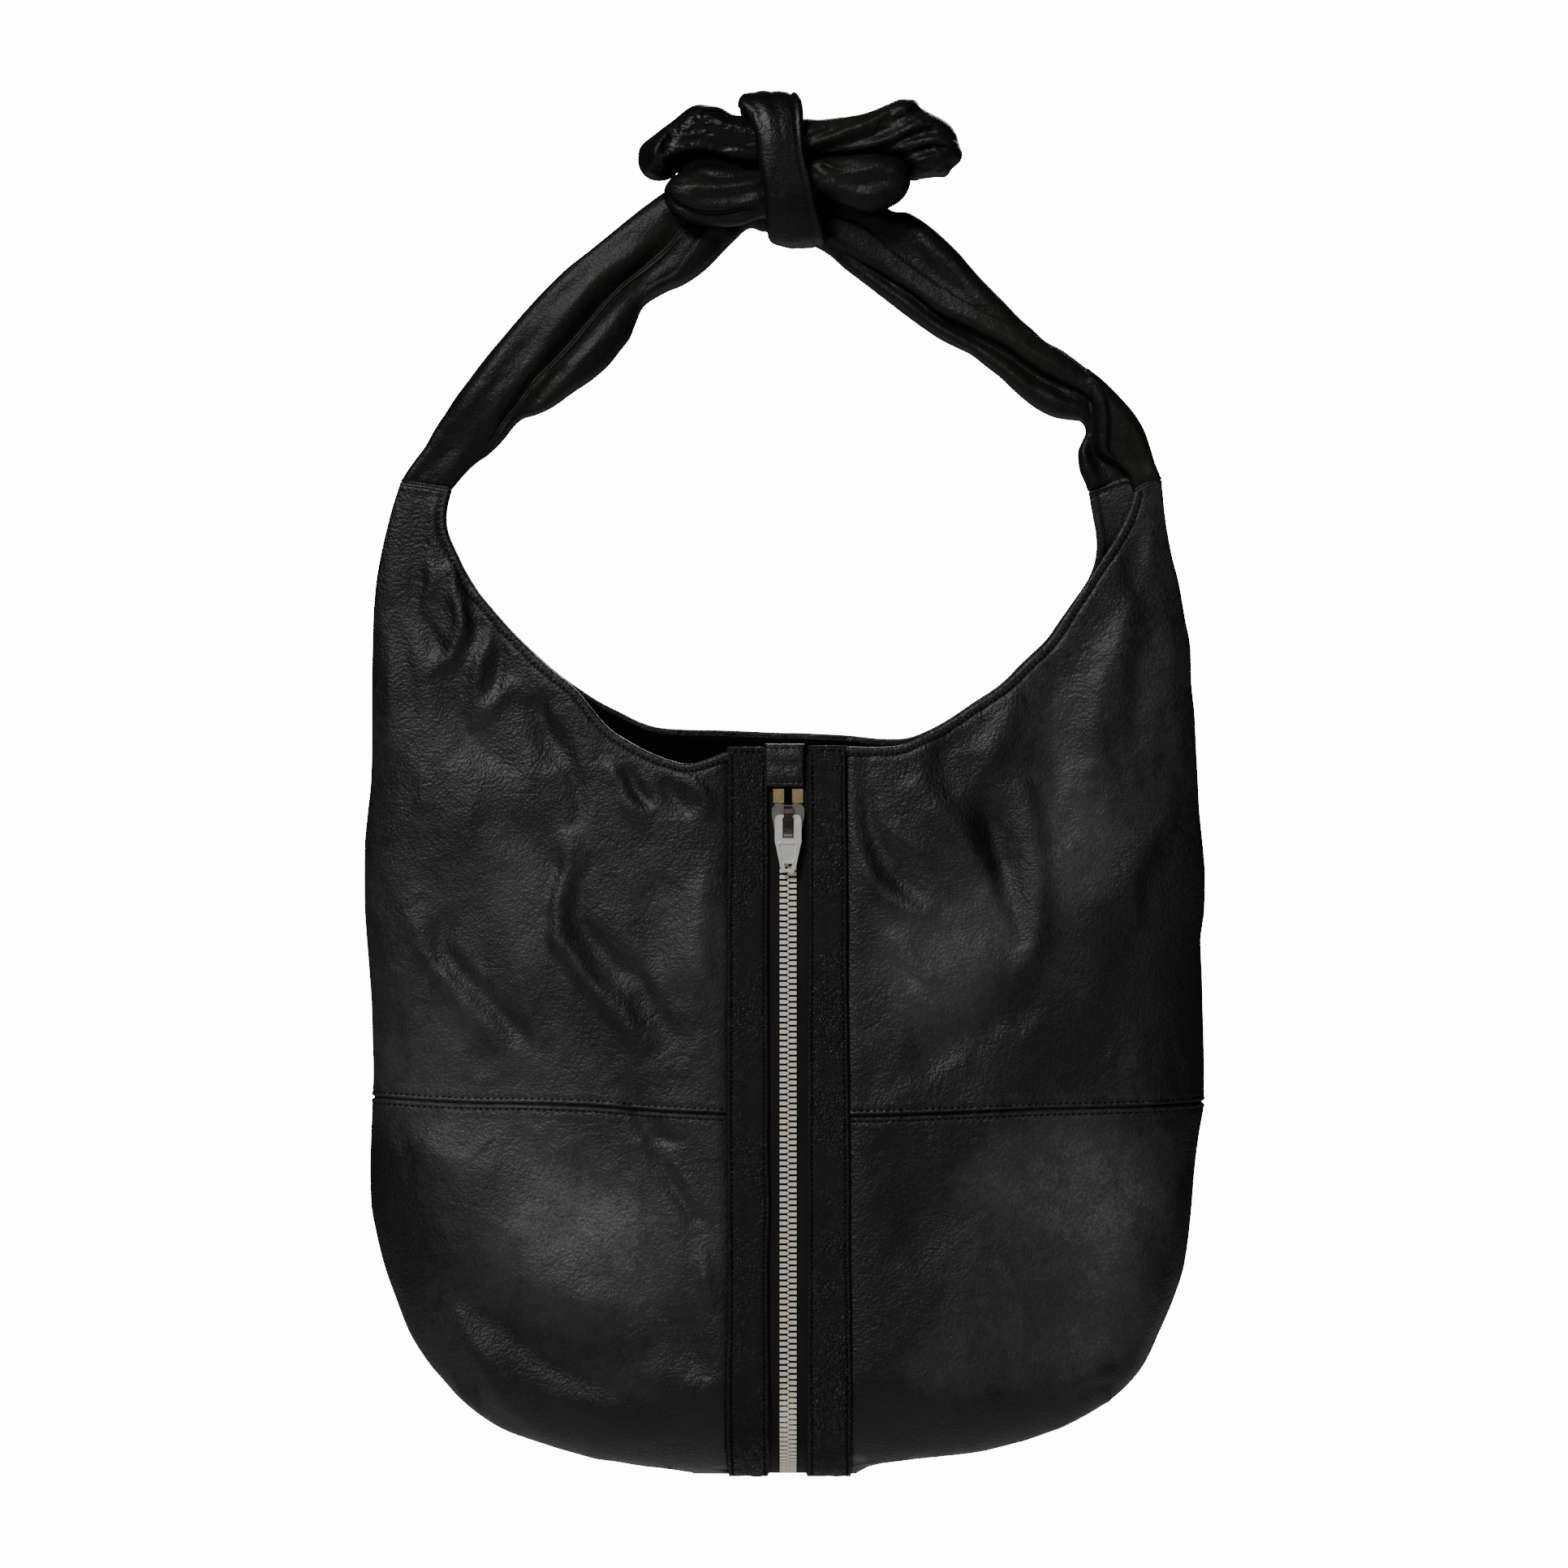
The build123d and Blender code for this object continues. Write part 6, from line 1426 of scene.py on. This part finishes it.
# ------------------------------------------------------------------ the wrap round the middle of the knot
def wrap():
    lx = pchip([[(-369, 568.1)][0][1], [(-369, 580.3)][0][1], [(-369, 592.4)][0][1], [(-369, 605.7)][0][1], [(-369, 622.4)][0][1], [(-369, 635.4)][0][1], [(-369, 641.1)][0][1], [(-369, 648.7)][0][1]],
               [[(-8, 689.7)][0][0], [(-9.9, 689.7)][0][0], [(-10.6, 689.7)][0][0], [(-12.9, 689.7)][0][0], [(-14.8, 689.7)][0][0], [(-19.4, 689.7)][0][0], [(-23.6, 689.7)][0][0], [(-21.7, 689.7)][0][0]])
    rx = pchip([[(-369, 568.1)][0][1], [(-369, 575.7)][0][1], [(-369, 597)][0][1], [(-369, 620.2)][0][1], [(-369, 632.7)][0][1], [(-369, 642.6)][0][1], [(-369, 648.7)][0][1]],
               [[(19, 689.7)][0][0], [(17.9, 689.7)][0][0], [(12.5, 689.7)][0][0], [(8, 689.7)][0][0], [(7.2, 689.7)][0][0], [(6.5, 689.7)][0][0], [(5.3, 689.7)][0][0]])
    top, bot = [(-369, 646.4)][0][1], [(-369, 574.2)][0][1]
    rows, nr = 150, 54
    thick = 4.6
    verts = []
    for i in range(rows):
        a = 2 * PI * i / rows                        # 0 at the top, front at a quarter turn
        ca, sa = math.cos(a), math.sin(a)
        # superellipse section of the ring in Y-Z
        e = 0.78
        yy = -24.0 * math.copysign(abs(sa) ** e, sa)
        zz = math.copysign(abs(ca) ** e, ca)
        zc = (top + bot) / 2 + zz * (top - bot) / 2
        # outward direction of the section
        ny = -sa / 24.0
        nz = ca / ((top - bot) / 2)
        ln = math.hypot(ny, nz)
        ny, nz = ny / ln, nz / ln
        x0, x1 = float(lx(zc)), float(rx(zc))
        if yy > 0:
            x0, x1 = x0 + 2.0 * yy / 24, x1 - 1.0 * yy / 24
        for j in range(nr):
            q = j / nr
            # rounded strip section: outer face from q 0 to .5, inner face back again
            if q < 0.5:
                u = q * 2
                xx = x0 + (x1 - x0) * (0.5 - 0.5 * math.cos(PI * u)) ** 1.0
                d = min(xx - x0, x1 - xx)
                o = thick * (0.5 + 0.5 * math.sqrt(max(0.0, 1 - (1 - min(d / 3.4, 1)) ** 2)))
                f = (xx - x0) / (x1 - x0)
                puff = 1.5 * math.sin(PI * f) ** 0.8
                high = max(0.0, math.cos(a))
                pleat = -1.0 * math.exp(-((f - 0.84 - 0.02 * math.sin(a * 2)) / 0.030) ** 2) + 0.5 * math.exp(-((f - 0.93) / 0.04) ** 2)
                pleat += -0.6 * high * math.exp(-((f - 0.20 - 0.05 * math.cos(a)) / 0.05) ** 2) + 0.35 * math.exp(-((f - 0.34 + 0.05 * math.cos(a + 0.5)) / 0.12) ** 2)
                pleat += -0.5 * high ** 2 * math.exp(-((f - 0.60 + 0.08 * math.cos(a)) / 0.05) ** 2)
                o += puff + pleat * math.sin(PI * f) ** 0.3
            else:
                u = (q - 0.5) * 2
                xx = x1 - (x1 - x0) * (0.5 - 0.5 * math.cos(PI * u))
                d = min(xx - x0, x1 - xx)
                o = thick * (0.5 - 0.5 * math.sqrt(max(0.0, 1 - (1 - min(d / 3.4, 1)) ** 2)))
            o -= thick + 1.2
            verts.append((xx, yy + ny * o, zc + nz * o))
    verts = np.array(verts)
    wob = fbm(np.stack([verts[:, 0] / 9, verts[:, 1] / 14, verts[:, 2] / 22], 1), 3, 71)
    fine = 1 - 2 * np.abs(fbm(np.stack([verts[:, 0] / 3.2, verts[:, 1] / 9, verts[:, 2] / 9], 1), 3, 73))
    c = np.array([0.0, 0.0, (top + bot) / 2])
    dirn = verts - c
    dirn[:, 0] = 0
    dirn /= np.maximum(np.linalg.norm(dirn, axis=1, keepdims=True), 1e-9)
    verts = verts + dirn * (0.8 * wob + 0.18 * fine)[:, None]
    verts[:, 0] += 0.5 * fbm(np.stack([verts[:, 1] / 9, verts[:, 2] / 9, 0 * wob], 1), 2, 75)
    faces = []
    for i in range(rows):
        k = (i + 1) % rows
        for j in range(nr):
            l = (j + 1) % nr
            faces.append([i * nr + j, i * nr + l, k * nr + l, k * nr + j][::-1])
    ob = mesh("knot_wrap_leather", verts, faces, KNOT_LEATHER, "strap")
    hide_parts("knot_wrap")


wrap()


# ------------------------------------------------------------------ outward faces, stage, light, camera
for ob in list(pieces.values()):
    me = ob.data
    co = np.empty(len(me.vertices) * 3)
    me.vertices.foreach_get("co", co)
    co = co.reshape(-1, 3)
    me.calc_loop_triangles()
    tri = np.empty(len(me.loop_triangles) * 3, int)
    me.loop_triangles.foreach_get("vertices", tri)
    tri = tri.reshape(-1, 3)
    c = co - co.mean(0)
    vol = np.einsum("ij,ij->i", c[tri[:, 0]], np.cross(c[tri[:, 1]], c[tri[:, 2]])).sum()
    if vol < 0:
        me.flip_normals()

floor_mat = Nodes("pale_floor")
t = floor_mat.noise(3.0, 3)
floor_mat.set(Base_Color=floor_mat.mix(t, (0.88, 0.88, 0.87), (0.92, 0.92, 0.91)), Roughness=0.8)
me = bpy.data.meshes.new("floor")
R = 3.2
ring = [(R * math.cos(2 * PI * k / 96), R * math.sin(2 * PI * k / 96), -1.25) for k in range(96)]
me.from_pydata(ring, [], [list(range(96))])
floor = bpy.data.objects.new("floor", me)
me.materials.append(floor_mat.m)
bpy.context.scene.collection.objects.link(floor)

world = bpy.data.worlds.new("studio")
bpy.context.scene.world = world
world.use_nodes = True
wt = world.node_tree
bg = wt.nodes["Background"]
bg.inputs["Color"].default_value = (1, 1, 1, 1)
bg.inputs["Strength"].default_value = 0.03
bright = wt.nodes.new("ShaderNodeBackground")
bright.inputs["Color"].default_value = (1, 1, 1, 1)
bright.inputs["Strength"].default_value = 14.0
mixer = wt.nodes.new("ShaderNodeMixShader")
path = wt.nodes.new("ShaderNodeLightPath")
wt.links.new(path.outputs["Is Camera Ray"], mixer.inputs[0])
wt.links.new(bg.outputs[0], mixer.inputs[1])
wt.links.new(bright.outputs[0], mixer.inputs[2])
wt.links.new(mixer.outputs[0], wt.nodes["World Output"].inputs["Surface"])


def area(name, loc, target, size, power, colour=(1, 1, 1)):
    l = bpy.data.lights.new(name, "AREA")
    l.shape = "RECTANGLE"
    l.size, l.size_y = size
    l.energy = power
    l.color = colour
    ob = bpy.data.objects.new(name, l)
    ob.location = loc
    ob.rotation_euler = (Vector(target) - Vector(loc)).to_track_quat("-Z", "Y").to_euler()
    bpy.context.scene.collection.objects.link(ob)


aim = (0, 0, -0.25)
area("key_above", (-0.85, -1.50, 1.35), aim, (0.5, 0.4), 40)
area("left_front", (-1.1, -2.4, 0.25), (-0.1, 0, -0.36), (0.3, 0.4), 4.0)
area("right_front", (1.1, -2.4, 0.30), (0.1, 0, -0.36), (0.3, 0.4), 4.0)
area("back_key", (0.4, 2.4, 0.75), (0, 0, -0.30), (0.9, 0.7), 28)

cam = bpy.data.cameras.new("camera")
cam.sensor_width = 36.0
cam.sensor_fit = "HORIZONTAL"
cam.lens = 36.0 * 2500.0 / 734.16
cam.clip_end = 50
cam_ob = bpy.data.objects.new("camera", cam)
cam_ob.location = (-0.0019, -2.5, (322.62 - RAISE) / 1000.0)
cam_ob.rotation_euler = (PI / 2, 0, 0)
bpy.context.scene.collection.objects.link(cam_ob)
bpy.context.scene.camera = cam_ob
